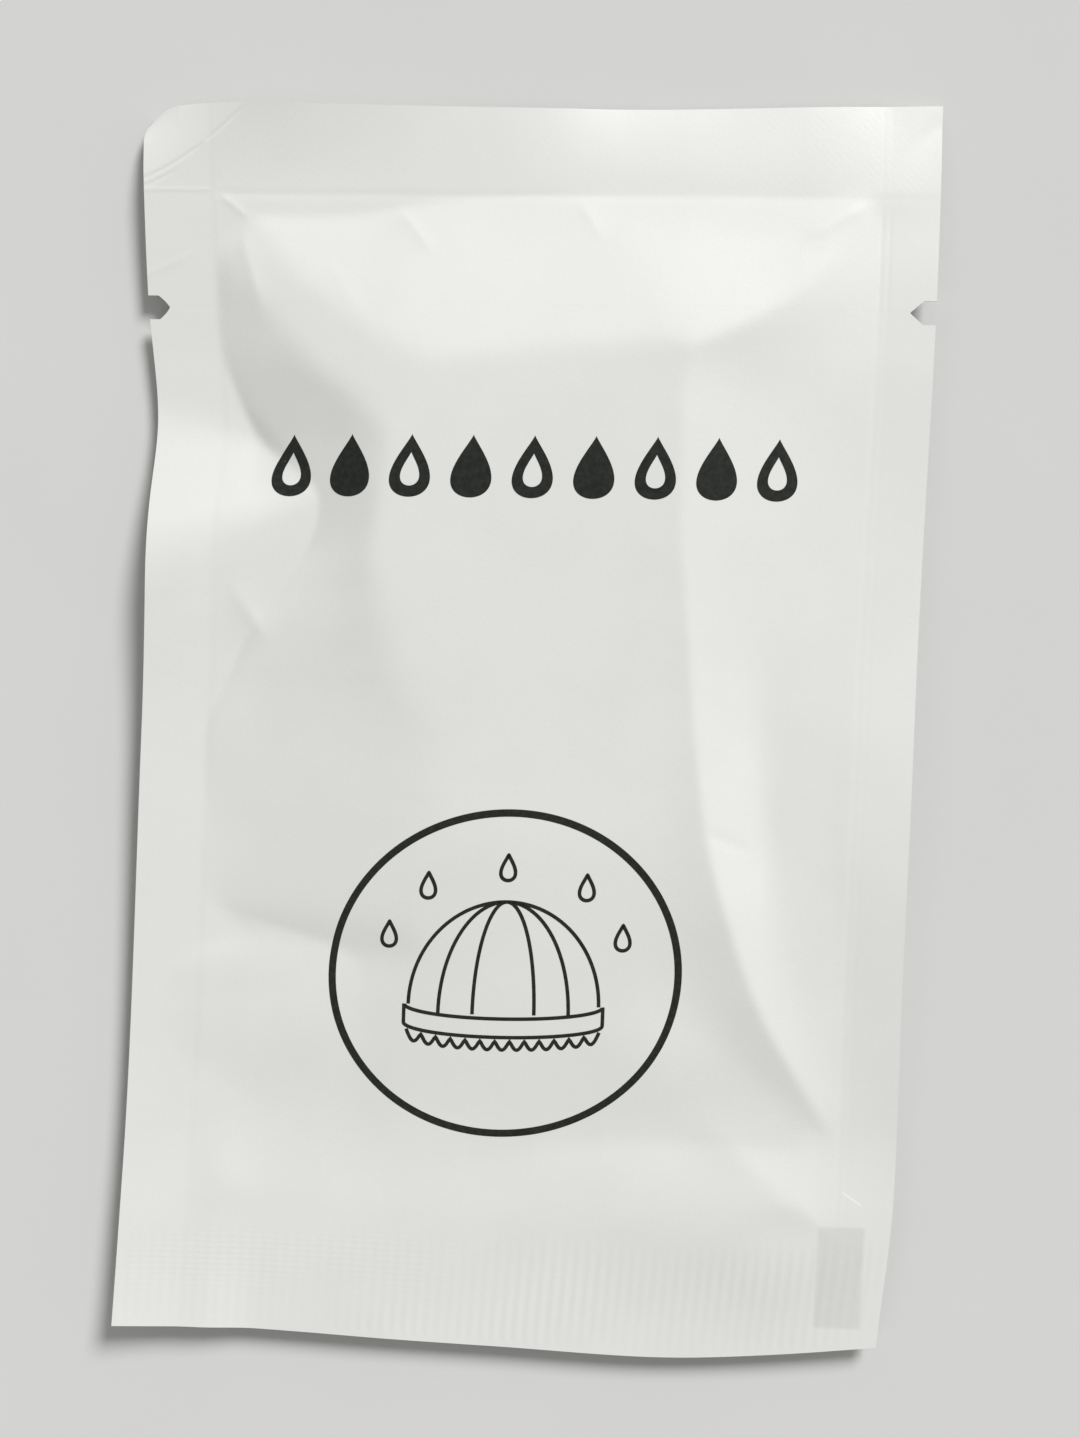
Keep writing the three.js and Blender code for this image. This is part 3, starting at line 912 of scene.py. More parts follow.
def sheet_mesh(name, place, outer, inner, facing_up, coarse):
    """A closed sheet: a fine outer face, an inner face on every coarse-th line, and a rim between.

    Each rim polygon has one edge of the inner face and coarse edges of the outer face.
    """
    u, v = place
    inner_u = u[::coarse, ::coarse]
    inner_v = v[::coarse, ::coarse]
    points = on_sheet(u, v, outer(u, v)).reshape(-1, 3)
    inner_points = on_sheet(inner_u, inner_v, inner(inner_u, inner_v)).reshape(-1, 3)
    outer_quads = grid_quads(*u.shape)
    inner_quads = grid_quads(*inner_u.shape) + len(points)
    outer_rim = rim(*u.shape, coarse)
    inner_rim = rim(*inner_u.shape, 1) + len(points)
    if facing_up:
        inner_quads = inner_quads[:, ::-1]
        walls = np.concatenate([inner_rim, outer_rim[:, ::-1]], axis=1)
    else:
        outer_quads = outer_quads[:, ::-1]
        walls = np.concatenate([outer_rim, inner_rim[:, ::-1]], axis=1)
    faces = [*outer_quads.tolist(), *inner_quads.tolist(), *walls.tolist()]
    return make_object(name, np.concatenate([points, inner_points]), faces)


def make_object(name, points, faces):
    """A smooth-shaded mesh object at the origin, with its sharp edges kept sharp."""
    mesh = bpy.data.meshes.new(name)
    mesh.from_pydata(points, [], faces)
    mesh.validate()
    mesh.shade_smooth()
    mesh.set_sharp_from_angle(angle=SHARP_ANGLE)
    made = bpy.data.objects.new(name, mesh)
    bpy.context.scene.collection.objects.link(made)
    return made


def dress(made, body, slot, material, *nodes):
    """Gives a piece its material and its body, and hides the frame nodes that it stands for; the slot is
    not used.
    """
    made.data.materials.append(material)
    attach(made, body)
    if nodes:
        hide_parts(*nodes)
    return made


# Shader maths


class Wire:
    """A socket of a material's node tree, with arithmetic that adds Math nodes."""

    def __init__(self, tree, socket):
        self.tree = tree
        self.socket = socket

    def node(self, kind, settings, inputs, output=0):
        """Adds any node: its settings are set first, then its sockets' values or links."""
        made = self.tree.nodes.new(kind)
        for name, value in settings.items():
            setattr(made, name, value)
        for name, value in inputs.items():
            if isinstance(value, Wire):
                self.tree.links.new(value.socket, made.inputs[name])
            else:
                made.inputs[name].default_value = value
        return Wire(self.tree, made.outputs[output])

    def maths(self, operation, first, second):
        """A Math node on two values."""
        return self.node("ShaderNodeMath", {"operation": operation}, {0: first, 1: second})

    def __add__(self, other):
        return self.maths("ADD", self, other)

    def __rsub__(self, other):
        return self.maths("SUBTRACT", other, self)

    def __mul__(self, other):
        return self.maths("MULTIPLY", self, other)

    __radd__ = __add__
    __rmul__ = __mul__

    def step(self, low, high):
        """Smooth step from 0 at low to 1 at high."""
        inputs = {"Value": self, "From Min": low, "From Max": high}
        return self.node("ShaderNodeMapRange", {"interpolation_type": "SMOOTHSTEP"}, inputs)

    def band(self, low, high, soft):
        """1 between two places given in millimetres, fading over soft at both ends."""
        rise = self.step((low - soft) * MM, (low + soft) * MM)
        return rise * (1 - self.step((high - soft) * MM, (high + soft) * MM))

    def noise(self, scale, detail=2.0, roughness=0.5):
        """Noise value from 0 to 1 at so many features a metre."""
        inputs = {"Vector": self, "Scale": scale, "Detail": detail, "Roughness": roughness}
        return self.node("ShaderNodeTexNoise", {}, inputs)

    def facets(self, scale):
        """Distance to the nearest border between cells, so many of them a metre."""
        inputs = {"Vector": self, "Scale": scale}
        return self.node("ShaderNodeTexVoronoi", {"feature": "DISTANCE_TO_EDGE"}, inputs)

    def turned(self, place, angle):
        """This position seen from a place in the sheet's plane, turned so that X runs along an angle."""
        origin = (place[0] * MM, place[1] * MM, 0)
        inputs = {"Vector": self, "Location": origin, "Rotation": (0, 0, angle)}
        return self.node("ShaderNodeMapping", {"vector_type": "TEXTURE"}, inputs)

    def axis(self, which):
        """One axis of a vector."""
        return self.node("ShaderNodeSeparateXYZ", {}, {0: self}, which)

    def tint(self, first, second):
        """Mixes two colours by this value."""
        inputs = {"Factor": self, 6: first, 7: second}
        return self.node("ShaderNodeMix", {"data_type": "RGBA"}, inputs, 2)


def new_material(name, **constants):
    """A Principled material with constant sockets set: gives it, its shader node and object position."""
    material = bpy.data.materials.new(name)
    material.use_nodes = True
    tree = material.node_tree
    shader = tree.nodes["Principled BSDF"]
    for socket, value in constants.items():
        shader.inputs[socket.replace("_", " ")].default_value = value
    coords = tree.nodes.new("ShaderNodeTexCoord")
    return material, shader, Wire(tree, coords.outputs["Object"])


def feed(shader, socket, wire):
    """Links a wire to one of a shader node's sockets."""
    wire.tree.links.new(wire.socket, shader.inputs[socket])


def bump(shader, height, strength, distance):
    """Bends the shader's normal by a height field; the distance is in millimetres."""
    inputs = {"Height": height, "Strength": strength, "Distance": distance * MM}
    feed(shader, "Normal", height.node("ShaderNodeBump", {}, inputs))


def shade(rgb, times):
    """A colour made lighter or darker, with alpha."""
    return (*[min(1.0, part * times) for part in rgb], 1.0)


# Materials


def shown_mark(place, base):
    """A colour made grey where the block of ink on the back shows through the paper."""
    mark = place.axis(0).band(*MARK_ACROSS, MARK_BLUR) * place.axis(1).band(*MARK_ALONG, MARK_BLUR)
    mark = mark * (0.75 + 0.35 * place.noise(700))
    return (mark * 0.17).tint(base, (0.25, 0.25, 0.25, 1))


def scratched(place, base):
    """A colour with the pale line of a short scratch."""
    along = place.turned(SCRATCH_START, SCRATCH_TURN)
    line = along.axis(0).band(0, SCRATCH_LENGTH, MARK_BLUR)
    line = line * along.axis(1).band(-SCRATCH_HALF, SCRATCH_HALF, SCRATCH_BLUR)
    return (line * 0.7).tint(base, (0.95, 0.95, 0.94, 1))


def paper_material(name, printed):
    """Coated white paper: cloudy and fibrous, with a satin gloss; the front has mark and scratch."""
    rgb = colours().paper
    material, shader, place = new_material(name)
    fibre = place.noise(2600, 3.0, 0.6)
    satin = place.noise(900)
    tone = place.noise(120, 3.0) * 0.7 + fibre * 0.3
    base = tone.step(0.3, 0.7).tint(shade(rgb, 0.985), shade(rgb, 1.01))
    if printed:
        base = scratched(place, shown_mark(place, base))
    feed(shader, "Base Color", base)
    feed(shader, "Roughness", 0.40 + 0.16 * satin)
    bump(shader, fibre + 0.5 * satin, 0.10, 0.12)
    return material


def ink_material():
    """Black ink: a little uneven, less glossy where it is thin."""
    rgb = colours().ink
    material, shader, place = new_material("ink", Specular_IOR_Level=0.2)
    uneven = place.noise(1800, 3.0)
    feed(shader, "Base Color", uneven.step(0.25, 0.8).tint(shade(rgb, 0.8), shade(rgb, 1.7)))
    feed(shader, "Roughness", 0.38 + 0.2 * uneven)
    bump(shader, place.noise(2600, 3.0), 0.08, 0.1)
    return material


def sealant_material():
    """Milky heat-seal layer, seen at the cut edges."""
    rgb = colours().sealant
    material, shader, place = new_material("sealant")
    cloud = place.noise(600)
    feed(shader, "Base Color", cloud.tint(shade(rgb, 0.94), shade(rgb, 1.04)))
    feed(shader, "Roughness", 0.35 + 0.15 * cloud)
    bump(shader, cloud, 0.1, 0.1)
    return material


def film_material():
    """Milky film: pale and glossy, cloudy, with broad and fine facets that catch the light."""
    rgb = colours().film
    material, shader, place = new_material("cap_film_finish", Coat_Weight=0.5, Coat_Roughness=0.06)
    cloud = place.noise(260, 3.0, 0.6)
    feed(shader, "Base Color", cloud.step(0.3, 0.7).tint(shade(rgb, 0.97), shade(rgb, 1.03)))
    feed(shader, "Roughness", 0.17 + 0.1 * cloud)
    bump(shader, place.facets(150) + 0.22 * place.facets(420), 0.7, 1.1)
    return material


def elastic_material():
    """Covered elastic: white, matt, with the fine ribs of its winding and painted shade in the grooves
    between them.
    """
    rgb = colours().elastic
    material, shader, place = new_material("elastic_finish")
    winding = {"Vector": place, "Scale": 900.0, "Distortion": 1.5}
    ribs = place.node("ShaderNodeTexWave", {"bands_direction": "X"}, winding)
    # Painted shade: the colour is darker in the grooves between the ribs and lighter on their crests,
    # where the bump is low and high.
    feed(shader, "Base Color", ribs.tint(shade(rgb, 0.88), shade(rgb, 1.05)))
    feed(shader, "Roughness", 0.6 + 0.15 * ribs)
    bump(shader, ribs, 0.3, 0.2)
    return material


def floor_material():
    """Pale floor with no gloss."""
    rgb = colours().floor
    material, shader, place = new_material("floor_finish", Roughness=0.6, Specular_IOR_Level=0.0)
    feed(shader, "Base Color", place.noise(40, 3.0).tint(shade(rgb, 0.985), shade(rgb, 1.015)))
    return material


# Print


def on_print(places, lift):
    """Points of the print in metres: places on the flat paper, a lift above the printed face."""
    u, v = places[..., 0], places[..., 1]
    return on_sheet(u, v, front_outer(u, v) + lift).reshape(-1, 3)


def ahead_on(path, closed):
    """Unit directions along a path of points, each from its neighbours."""
    if closed:
        ahead = np.roll(path, -1, axis=0) - np.roll(path, 1, axis=0)
    else:
        ahead = np.gradient(path, axis=0)
    return ahead / np.linalg.norm(ahead, axis=1, keepdims=True)


def left_of(ahead):
    """Directions turned a quarter to the left."""
    return np.stack([-ahead[:, 1], ahead[:, 0]], axis=1)


def stroke(path, width, closed):
    """A flat line of ink: a six-point section carried along a path on the paper.

    Two points of the section are sunk below the paper at the line's borders, and four lie just
    above it across the line's width, so the line is a closed band. Gives its points and faces.
    """
    side = left_of(ahead_on(path, closed))
    shares = np.array([-0.5, 0.5, 0.5, 0.17, -0.17, -0.5])
    lifts = np.array([-INK_SINK, -INK_SINK, 1, 1, 1, 1]) * mm(print_sizes().proud)
    places = path[:, None] + side[:, None] * (shares * width)[:, None]
    return on_print(places, lifts), swept_faces(len(path), len(shares), closed)


def filled(outline, middle, rings):
    """A filled shape of ink: rings from a middle out to a closed outline, and a sunk border."""
    proud = mm(print_sizes().proud)
    shares = np.append(np.linspace(0.12, 1, rings), 1)
    lifts = np.append(np.full(rings, proud), -INK_SINK * proud)
    places = middle + (outline - middle) * shares[:, None, None]
    return on_print(places, lifts[:, None]), swept_faces(len(shares), len(outline), False)


def banded(outer, inner):
    """A band of ink between two clockwise outlines with as many points, its borders sunk."""
    shares = np.array([0, 0, 0.33, 0.67, 1, 1])
    lifts = np.array([-INK_SINK, 1, 1, 1, 1, -INK_SINK]) * mm(print_sizes().proud)
    places = inner + (outer - inner) * shares[:, None, None]
    return on_print(places, lifts[:, None]), swept_faces(len(shares), len(outer), True)


def joined(name, shapes):
    """One object from several point and face lists."""
    points = []
    faces = []
    count = 0
    for shape_points, shape_faces in shapes:
        points.append(shape_points)
        faces += [[corner + count for corner in face] for face in shape_faces]
        count += len(shape_points)
    return make_object(name, np.concatenate(points), faces)


def drop_outline(middle, width, height, steps):
    """A drop with its point up: x = w sin t sin(t / 2)^1.4, y = h cos t, with w to give the width."""
    turn = np.linspace(0, 2 * math.pi, steps, endpoint=False)
    across = np.sin(turn) * np.abs(np.sin(turn / 2)) ** DROP_POINT
    across *= width / (across.max() - across.min())
    along = 0.5 * height * np.cos(turn)
    return np.stack([middle[0] + across, middle[1] + along], axis=1)


def rounded(middle, across, along, start, end, steps):
    """Points of an ellipse from one angle to another, in degrees."""
    turn = np.radians(np.linspace(start, end, steps))
    return np.stack([middle[0] + across * np.cos(turn), middle[1] + along * np.sin(turn)], axis=1)


def drop_row():
    """The row of drops, hollow and solid by turns. A hollow's line is thickest at the drop's point."""
    size = print_sizes()
    width, height, line = mm(size.drop_width), mm(size.drop_height), mm(size.drop_line)
    places = np.linspace(-0.5, 0.5, DROP_COUNT) * (mm(size.row_length) - width) + ROW_SHIFT
    drops = []
    for order, across in enumerate(places):
        middle = np.array([across, mm(size.row_middle)])
        if order % 2:
            outline = drop_outline(middle, width, height, steps=72)
            drops.append(filled(outline, middle - [0, DROP_BELLY * height], rings=10))
        else:
            outline = drop_outline(middle, width, height, steps=90)
            hollow = drop_outline(middle - [0, HOLLOW_SINK * line], width - 2 * line,
                                  height - HOLLOW_SHORTER * line, steps=90)
            drops.append(banded(outline, hollow))
    return joined("print_drops", drops)


def plain_ring():
    """The ring: an ellipse, turned a little."""
    size = print_sizes()
    path = rounded((0, 0), mm(size.ring_across), mm(size.ring_along), 0, 360, steps=401)[:-1]
    cosine, sine = math.cos(RING_TURN), math.sin(RING_TURN)
    path = path @ np.array([[cosine, sine], [-sine, cosine]]) + RING_MIDDLE
    return joined("print_ring", [stroke(path, mm(size.ring_line), True)])


def cap_drawing():
    """Line drawing of a pleated cap with a frilled hem: a list of paths, and whether each is closed.

    The dome is an upper half ellipse, the pleats are arcs of narrower ellipses, the hem is a band
    between two shallow arcs, and the frill is a row of small half waves below it.
    """
    dome = rounded(DRAWN_HEM, DRAWN_HALF - DOME_INSET, DOME_HEIGHT, 0, 180, steps=60)
    pleat_foot = DRAWN_HEM - [0, DRAWN_PLEAT_SINK]
    pleat_height = DOME_HEIGHT + DRAWN_PLEAT_SINK
    pleats = [rounded(pleat_foot, half, pleat_height, 0, 180, steps=50) for half in DRAWN_PLEAT_HALVES]
    upper = rounded(DRAWN_HEM, DRAWN_HALF, DRAWN_HEM_BOW, 180, 360, steps=50)
    lower = rounded(DRAWN_HEM - [0, DRAWN_HEM_HEIGHT], DRAWN_HALF, DRAWN_HEM_BOW, 360, 180, steps=50)
    share = FRILL_SHARE * np.linspace(-1, 1, SCALLOPS * SCALLOP_STEPS + 1)
    waves = np.abs(np.sin(np.linspace(0, SCALLOPS * math.pi, SCALLOPS * SCALLOP_STEPS + 1)))
    along = DRAWN_HEM[1] - FRILL_DROP - DRAWN_HEM_BOW * np.sqrt(1 - share ** 2) - SCALLOP_HEIGHT * waves
    frill = np.stack([DRAWN_HEM[0] + DRAWN_HALF * share, along], axis=1)
    open_paths = [(path, False) for path in (dome, *pleats, frill)]
    return [*open_paths, (np.concatenate([upper, lower]), True)]


def cap_lines():
    """The drawing in the ring: the cap and the small drops round it."""
    width = mm(print_sizes().fine_line)
    paths = cap_drawing()
    for place in SMALL_DROP_PLACES:
        paths.append((drop_outline(RING_MIDDLE + place, *SMALL_DROP, steps=40), True))
    return joined("print_cap", [stroke(path, width, closed) for path, closed in paths])


def unfolded(x, y):
    """The place on the flat cut that lies at (x, y), by one step back from planform()."""
    there_x, there_y = planform(x, y)
    return 2 * x - there_x, 2 * y - there_y


def registration_mark():
    """Plain block of ink on the back, in the lower seal near the right edge."""
    proud = mm(print_sizes().proud)
    across = np.linspace(*MARK_ACROSS, MARK_CELLS[0] + 1)
    along = np.linspace(*MARK_ALONG, MARK_CELLS[1] + 1)

    place = unfolded(*np.meshgrid(across, along))

    def outer(u, v):
        """Face of the ink, just below the back."""
        return back_outer(u, v) - proud

    def inner(u, v):
        """Other face of the ink, sunk into the paper."""
        return back_outer(u, v) + 2 * proud

    return sheet_mesh("print_mark", place, outer, inner, False, 1)


# Folded cap


def folded_path(half_width, leaf_points, fold_points):
    """Path of a film folded to and fro, leaf after leaf, through a height of 1.

    Even leaves run to the right and odd ones to the left, and each fold is a half circle between
    two leaves. Gives places across, heights, and for each point the leaf that it belongs to.
    """
    pitch = 1 / LEAVES
    bend = np.linspace(0, math.pi, fold_points + 2)[1:-1]
    straight = half_width - pitch / 2
    across, height, leaf = [], [], []
    for order, points in enumerate(leaf_points):
        way = 1 if order % 2 == 0 else -1
        across.append(way * np.linspace(-straight, straight, points))
        height.append(np.full(points, order * pitch))
        leaf.append(np.full(points, order, float))
        if order < len(leaf_points) - 1:
            across.append(way * (straight + pitch / 2 * np.sin(bend)))
            height.append(order * pitch + pitch / 2 * (1 - np.cos(bend)))
            leaf.append(order + bend / math.pi)
    return np.concatenate(across), np.concatenate(height), np.concatenate(leaf)


def pack_room(x, y):
    """Height under the front web that is free from (x, y) all the way out of the mouth.

    For rows in order along the sachet it is the running least of the front's inner face,
    taken from the mouth inwards; past the mouth the last row inside is used.
    """
    u, v = unfolded(x, np.minimum(y, TEAR_LINE))
    inner = front_inner(u, v)
    return np.minimum.accumulate(inner[::-1], axis=0)[::-1]


def packed(x, y, share, fall):
    """Height of a point of the pack: a share of the room, less what the film falls by there."""
    low = FILM_LOW[2]
    top = np.minimum(pack_room(x, y) - PACK_CLEARANCE, FILM_HIGH[2] + PACK_EXCESS) - fall
    return low + np.clip(share, 0, 1) * (top - low)


def pleat(place, pitch):
    """Crisp pleats: a triangle wave from 0 to 1, arccos(cos) / pi, with its tips a little round."""
    return np.arccos(PLEAT_TIP * wave(place, pitch)) / math.pi


def gathers(x, y):
    """How far the outer leaf falls between the gathers that run from the hem, and how far at most.

    Fine and broad pleats of uneven width wander across the film, and fade away from the hem.
    """
    away = np.clip(FILM_HIGH[1] - y, 0, None)
    wander = 1.2 * np.sin(y / 17) + 0.45 * np.sin(y / 6.1 + 1) + 0.9 * np.sin(x / 3.7 + y / 31)
    fine = FINE_GATHER * np.exp(-away / FINE_REACH)
    broad = BROAD_GATHER * np.exp(-away / BROAD_REACH)
    valleys = fine * pleat(x + wander, FINE_PLEAT) + broad * pleat(x + 1.7 * wander, BROAD_PLEAT)
    return valleys, fine + broad


def film_creases(x, y):
    """Creases that the folding leaves in the film: seeded straight lines, some up and some down."""
    draw = np.random.default_rng(SEED + 6)
    total = np.zeros(x.shape)
    for _ in range(FILM_CREASES):
        start = draw.uniform(FILM_LOW[:2], FILM_HIGH[:2])
        turn = draw.uniform(0, 2 * math.pi)
        end = start + draw.uniform(*FILM_CREASE_LENGTHS) * np.array([math.cos(turn), math.sin(turn)])
        height = draw.uniform(-FILM_CREASE_HEIGHT, FILM_CREASE_HEIGHT)
        total = total + height * crease(x, y, start, end, draw.uniform(*FILM_CREASE_WIDTHS))
    return total


def film_fall(x, y, leaf):
    """How far each leaf falls below its share of the room; the inner ones lie flat below the gathers."""
    outer = smooth(leaf, LEAVES - 1.7, LEAVES - 1)
    valleys, deepest = gathers(x, y)
    waves = FILM_WAVES * ripples(x, y / 2, waves=6, shortest=6, longest=17, seed=SEED + 4)
    uneven = np.clip(FILM_SLACK + waves - film_creases(x, y), 0, None)
    return mixed(deepest + FILM_SLACK, valleys + uneven, outer)


def film_object(name, x, y, z):
    """An open film surface from its grid of points, with a wall thickness."""
    points = np.stack([x, y, z], axis=-1).reshape(-1, 3) * MM
    made = make_object(name, points, grid_quads(*x.shape).tolist())
    wall = made.modifiers.new("film wall", "SOLIDIFY")
    wall.thickness = FILM_WALL * MM
    wall.offset = 0
    return made


def film_surface():
    """The cap's film: a folded path drawn along the sachet, gathered and creased, with uneven folds."""
    cells = [INNER_CELLS] * (LEAVES - 2) + [NEXT_CELLS, COVER_CELLS]
    path = folded_path(PACK_HALF, cells, FILM_FOLD_POINTS)
    along = np.linspace(FILM_LOW[1] + FILM_INSET, FILM_HIGH[1], FILM_ROWS)
    across, y = np.meshgrid(path[0], along)
    height, leaf = [np.broadcast_to(values, y.shape) for values in path[1:]]
    at_fold = np.sign(across) * smooth(np.abs(across), PACK_HALF * 0.8, PACK_HALF)
    stagger = FOLD_WANDER * np.sin(leaf * 2.4 + y / 23) - FOLD_STAGGER * np.abs(np.sin(leaf * 1.7))
    x = PACK_MIDDLE + across + at_fold * stagger
    return film_object("folded_film", x, y, packed(x, y, height + LEAF_BASE, film_fall(x, y, leaf)))


def hem_surface():
    """The gathered hem: the same folded path past the film's end, ruffled, with a wavy free edge."""
    cells = [HEM_CELLS] * (LEAVES - 1) + [HEM_COVER_CELLS]
    path = folded_path(HEM_HALF, cells, FILM_FOLD_POINTS)
    travel = np.concatenate([[0], np.cumsum(np.hypot(np.diff(path[0]), np.diff(path[1])))])
    across, y = np.meshgrid(path[0], np.linspace(FILM_HIGH[1] - HEM_LAP, HEM_END, HEM_ROWS))
    height, leaf, travel = [np.broadcast_to(values, y.shape) for values in (*path[1:], travel)]
    x = PACK_MIDDLE + across
    free = HEM_RUFFLE * smooth(y, FILM_HIGH[1] + HEM_FREE, HEM_END)
    ruffle = free * np.sin(2 * math.pi * travel / FINE_PLEAT + 0.8 * np.sin(travel / 5)) / LEAVES
    edge = y + free * (np.sin(travel / 4.3) - 1)
    z = packed(x, y, height + LEAF_BASE + ruffle, film_fall(x, y, leaf))
    return film_object("ruffled_hem", x, edge, z)


def elastic_band():
    """The elastic in the hem: a narrow oval section carried straight along the folded path."""
    across, height, _ = folded_path(HEM_HALF, [ELASTIC_CELLS] * LEAVES, ELASTIC_FOLD_POINTS)
    x = (PACK_MIDDLE + across)[None]
    place = np.full(x.shape, FILM_HIGH[1] + ELASTIC_AT)
    deepest = gathers(x, place)[1]
    z = packed(x, place, (height + LEAF_BASE)[None], FILM_SLACK + ELASTIC_DEPTH * deepest)
    path = np.stack([x[0], z[0]], axis=1)
    up = left_of(ahead_on(path, False))
    turn = np.linspace(0, 2 * math.pi, ELASTIC_SIDES, endpoint=False)
    section = path[:, None] + up[:, None] * (ELASTIC_HALF_THICKNESS * np.sin(turn))[:, None]
    y = np.broadcast_to(place[0, 0] + ELASTIC_HALF_WIDTH * np.cos(turn), section.shape[:2])
    points = np.stack([section[..., 0], y, section[..., 1]], axis=-1).reshape(-1, 3) * MM
    return make_object("elastic_band", points, swept_faces(len(path), ELASTIC_SIDES, False))


# Stage


def make_floor():
    """A wide flat floor, which isn't part of the sachet."""
    corners = [(x * FLOOR_REACH, y * FLOOR_REACH, 0) for x, y in ((-1, -1), (1, -1), (1, 1), (-1, 1))]
    mesh = bpy.data.meshes.new("floor")
    mesh.from_pydata(corners, [], [(0, 1, 2, 3)])
    mesh.materials.append(floor_material())
    floor = bpy.data.objects.new("floor", mesh)
    bpy.context.scene.collection.objects.link(floor)


def make_lamp(name, towards, strength, spread):
    """A far soft lamp in a direction from the sachet, which fills an angle of the sky."""
    data = bpy.data.lights.new(name, "SUN")
    data.energy = strength
    data.angle = spread
    made = bpy.data.objects.new(name, data)
    bpy.context.scene.collection.objects.link(made)
    x, y, z = towards
    made.location = towards
    made.rotation_euler = (math.atan2(math.hypot(x, y), z), 0, math.atan2(y, x) + math.pi / 2)


def make_sky(strength, backdrop):
    """Even light from all round, which the camera, gloss and glass see as a pale backdrop."""
    world = bpy.data.worlds.new("sky")
    world.use_nodes = True
    tree = world.node_tree
    background = tree.nodes["Background"]
    background.inputs["Color"].default_value = (1, 1, 1, 1)
    path = tree.nodes.new("ShaderNodeLightPath")
    seen = Wire(tree, path.outputs["Is Camera Ray"]) + Wire(tree, path.outputs["Is Glossy Ray"])
    seen = (seen + Wire(tree, path.outputs["Is Transmission Ray"])).step(0.4, 0.6)
    feed(background, "Strength", strength + seen * (backdrop - strength))
    bpy.context.scene.world = world


def make_camera(settings):
    """The camera, whose lens gives the focal length in pixels at the frame's height."""
    data = bpy.data.cameras.new("camera")
    data.sensor_width = SENSOR
    data.lens = SENSOR * settings.focal_pixels / settings.frame_height
    data.clip_start = 0.01
    camera = bpy.data.objects.new("camera", data)
    bpy.context.scene.collection.objects.link(camera)
    camera.location = settings.camera_place
    camera.rotation_euler = settings.camera_turn
    bpy.context.scene.camera = camera


# Operators


class SACHET_OT_stage(bpy.types.Operator):
    """Make the floor, the lamps and the camera"""

    bl_idname = "sachet.stage"
    bl_label = "Stage"

    def execute(self, context):
        settings = context.scene.stage_settings
        make_floor()
        make_lamp("key", settings.key_towards, settings.key_strength, settings.spread)
        make_lamp("fill", settings.fill_towards, settings.fill_strength, settings.spread)
        make_sky(settings.sky, settings.backdrop)
        make_camera(settings)
        context.scene.view_settings.view_transform = "Standard"
        return {"FINISHED"}


class SACHET_OT_webs(bpy.types.Operator):
    """Make the front and back webs of the sachet below the tear line"""

    bl_idname = "sachet.webs"
    bl_label = "Sachet webs"

    def execute(self, context):
        place = body_grid(*FRONT_GRID)
        front = sheet_mesh("front_web", place, front_outer, front_inner, True, INNER_EVERY)
        finish = paper_material("front_paper_finish", True)
        dress(front, "sachet", "front_paper", finish, "front_panel")
        place = body_grid(*BACK_GRID)
        back = sheet_mesh("back_web", place, back_outer, back_inner, False, INNER_EVERY)
        finish = paper_material("back_paper_finish", False)
        dress(back, "sachet", "back_paper", finish, "back_panel")
        return {"FINISHED"}


class SACHET_OT_strip(bpy.types.Operator):
    """Make the webs of the tear-off strip"""

    bl_idname = "sachet.strip"
    bl_label = "Tear-off strip"

    def execute(self, context):
        place = strip_grid(*STRIP_FRONT_GRID)
        front = sheet_mesh("strip_front_web", place, strip_front_outer, front_inner, True, INNER_EVERY)
        finish = paper_material("strip_paper_finish", True)
        dress(front, "tear_strip", "front_paper", finish, "strip_front")
        place = strip_grid(*STRIP_BACK_GRID)
        back = sheet_mesh("strip_back_web", place, strip_back_outer, back_inner, False, INNER_EVERY)
        finish = paper_material("strip_back_finish", False)
        dress(back, "tear_strip", "back_paper", finish, "strip_back")
        return {"FINISHED"}


class SACHET_OT_seals(bpy.types.Operator):
    """Make the bonded layers between the webs"""

    bl_idname = "sachet.seals"
    bl_label = "Bonded layers"

    def execute(self, context):
        material = sealant_material()
        body = np.stack(body_grid(*BACK_GRID))
        strip = np.stack(strip_grid(*STRIP_BACK_GRID))
        seam = BACK_GRID[1]
        strip_seam = STRIP_BACK_GRID[1]
        left = int((body[0, 0] < POCKET_LEFT).sum()) + 1
        right = int((body[0, 0] < POCKET_RIGHT).sum()) - 1
        layers = (
            ("left_bond", body[:, seam:, :left], "sachet", "left_side_seal"),
            ("right_bond", body[:, seam:, right:], "sachet", "right_side_seal"),
            ("bottom_bond", body[:, :seam + 1], "sachet", "bottom_seal"),
            ("strip_left_bond", strip[:, :strip_seam + 1, :left], "tear_strip", "strip_left_seal"),
            ("strip_right_bond", strip[:, :strip_seam + 1, right:], "tear_strip", "strip_right_seal"),
            ("top_bond", strip[:, strip_seam:], "tear_strip", "top_seal"),
        )
        for name, place, carrier, node in layers:
            made = sheet_mesh(name, place, bond_upper, bond_lower, True, 1)
            dress(made, carrier, "sealant", material, node)
        return {"FINISHED"}


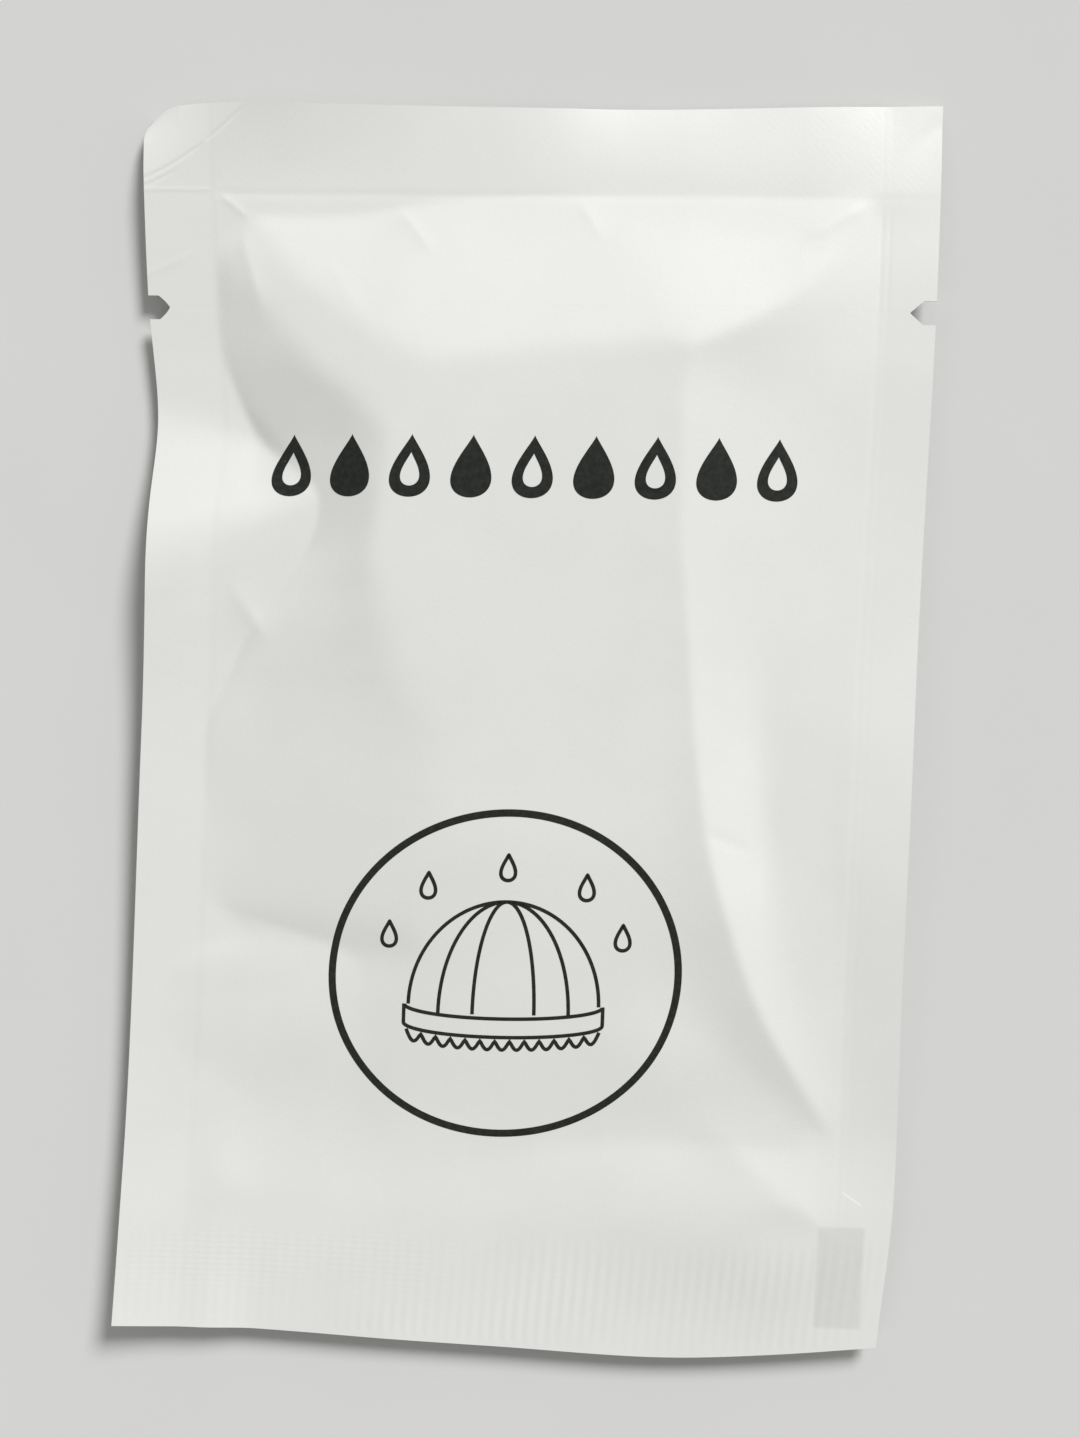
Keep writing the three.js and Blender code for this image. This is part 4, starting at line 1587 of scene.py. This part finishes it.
class SACHET_OT_print(bpy.types.Operator):
    """Print the front in black, and the registration mark on the back"""

    bl_idname = "sachet.print"
    bl_label = "Print"

    def execute(self, context):
        material = ink_material()
        for made in (drop_row(), plain_ring(), cap_lines()):
            dress(made, "sachet", "front_paper", material)
        dress(registration_mark(), "sachet", "back_paper", material)
        return {"FINISHED"}


class SACHET_OT_cap(bpy.types.Operator):
    """Make the folded cap: its film, ruffled hem and elastic"""

    bl_idname = "sachet.cap"
    bl_label = "Folded cap"

    def execute(self, context):
        finish = film_material()
        film = dress(film_surface(), "cap", "cap_film", finish, "cap_film")
        hem = dress(hem_surface(), "cap", "cap_film", finish)
        elastic = dress(elastic_band(), "cap", "elastic", elastic_material(), "hem_elastic")
        width = 2 * PACK_HALF * LEAVES * MM
        return {"FINISHED"}


class SACHET_PT_panel(bpy.types.Panel):
    """Lists the steps that make the sachet"""

    bl_label = "Sachet"
    bl_idname = "SACHET_PT_panel"
    bl_space_type = "VIEW_3D"
    bl_region_type = "UI"
    bl_category = "Sachet"

    def draw(self, context):
        for operator in OPERATORS:
            self.layout.operator(operator.bl_idname)


SETTINGS = {
    "sachet_sizes": SachetSizes,
    "print_sizes": PrintSizes,
    "sachet_colours": SachetColours,
    "stage_settings": StageSettings,
}
OPERATORS = (SACHET_OT_stage, SACHET_OT_webs, SACHET_OT_strip, SACHET_OT_seals, SACHET_OT_print,
             SACHET_OT_cap)


def register():
    """Registers the settings, the operators and the panel."""
    for name, group in SETTINGS.items():
        bpy.utils.register_class(group)
        setattr(bpy.types.Scene, name, bpy.props.PointerProperty(type=group))
    for kind in (*OPERATORS, SACHET_PT_panel):
        bpy.utils.register_class(kind)


def unregister():
    """Takes the settings, the operators and the panel away again."""
    for kind in (SACHET_PT_panel, *OPERATORS):
        bpy.utils.unregister_class(kind)
    for name, group in SETTINGS.items():
        delattr(bpy.types.Scene, name)
        bpy.utils.unregister_class(group)


def main():
    """Makes everything in order."""
    register()
    bpy.ops.sachet.stage()
    bpy.ops.sachet.webs()
    bpy.ops.sachet.strip()
    bpy.ops.sachet.seals()
    bpy.ops.sachet.print()
    bpy.ops.sachet.cap()


if __name__ == "__main__":
    main()
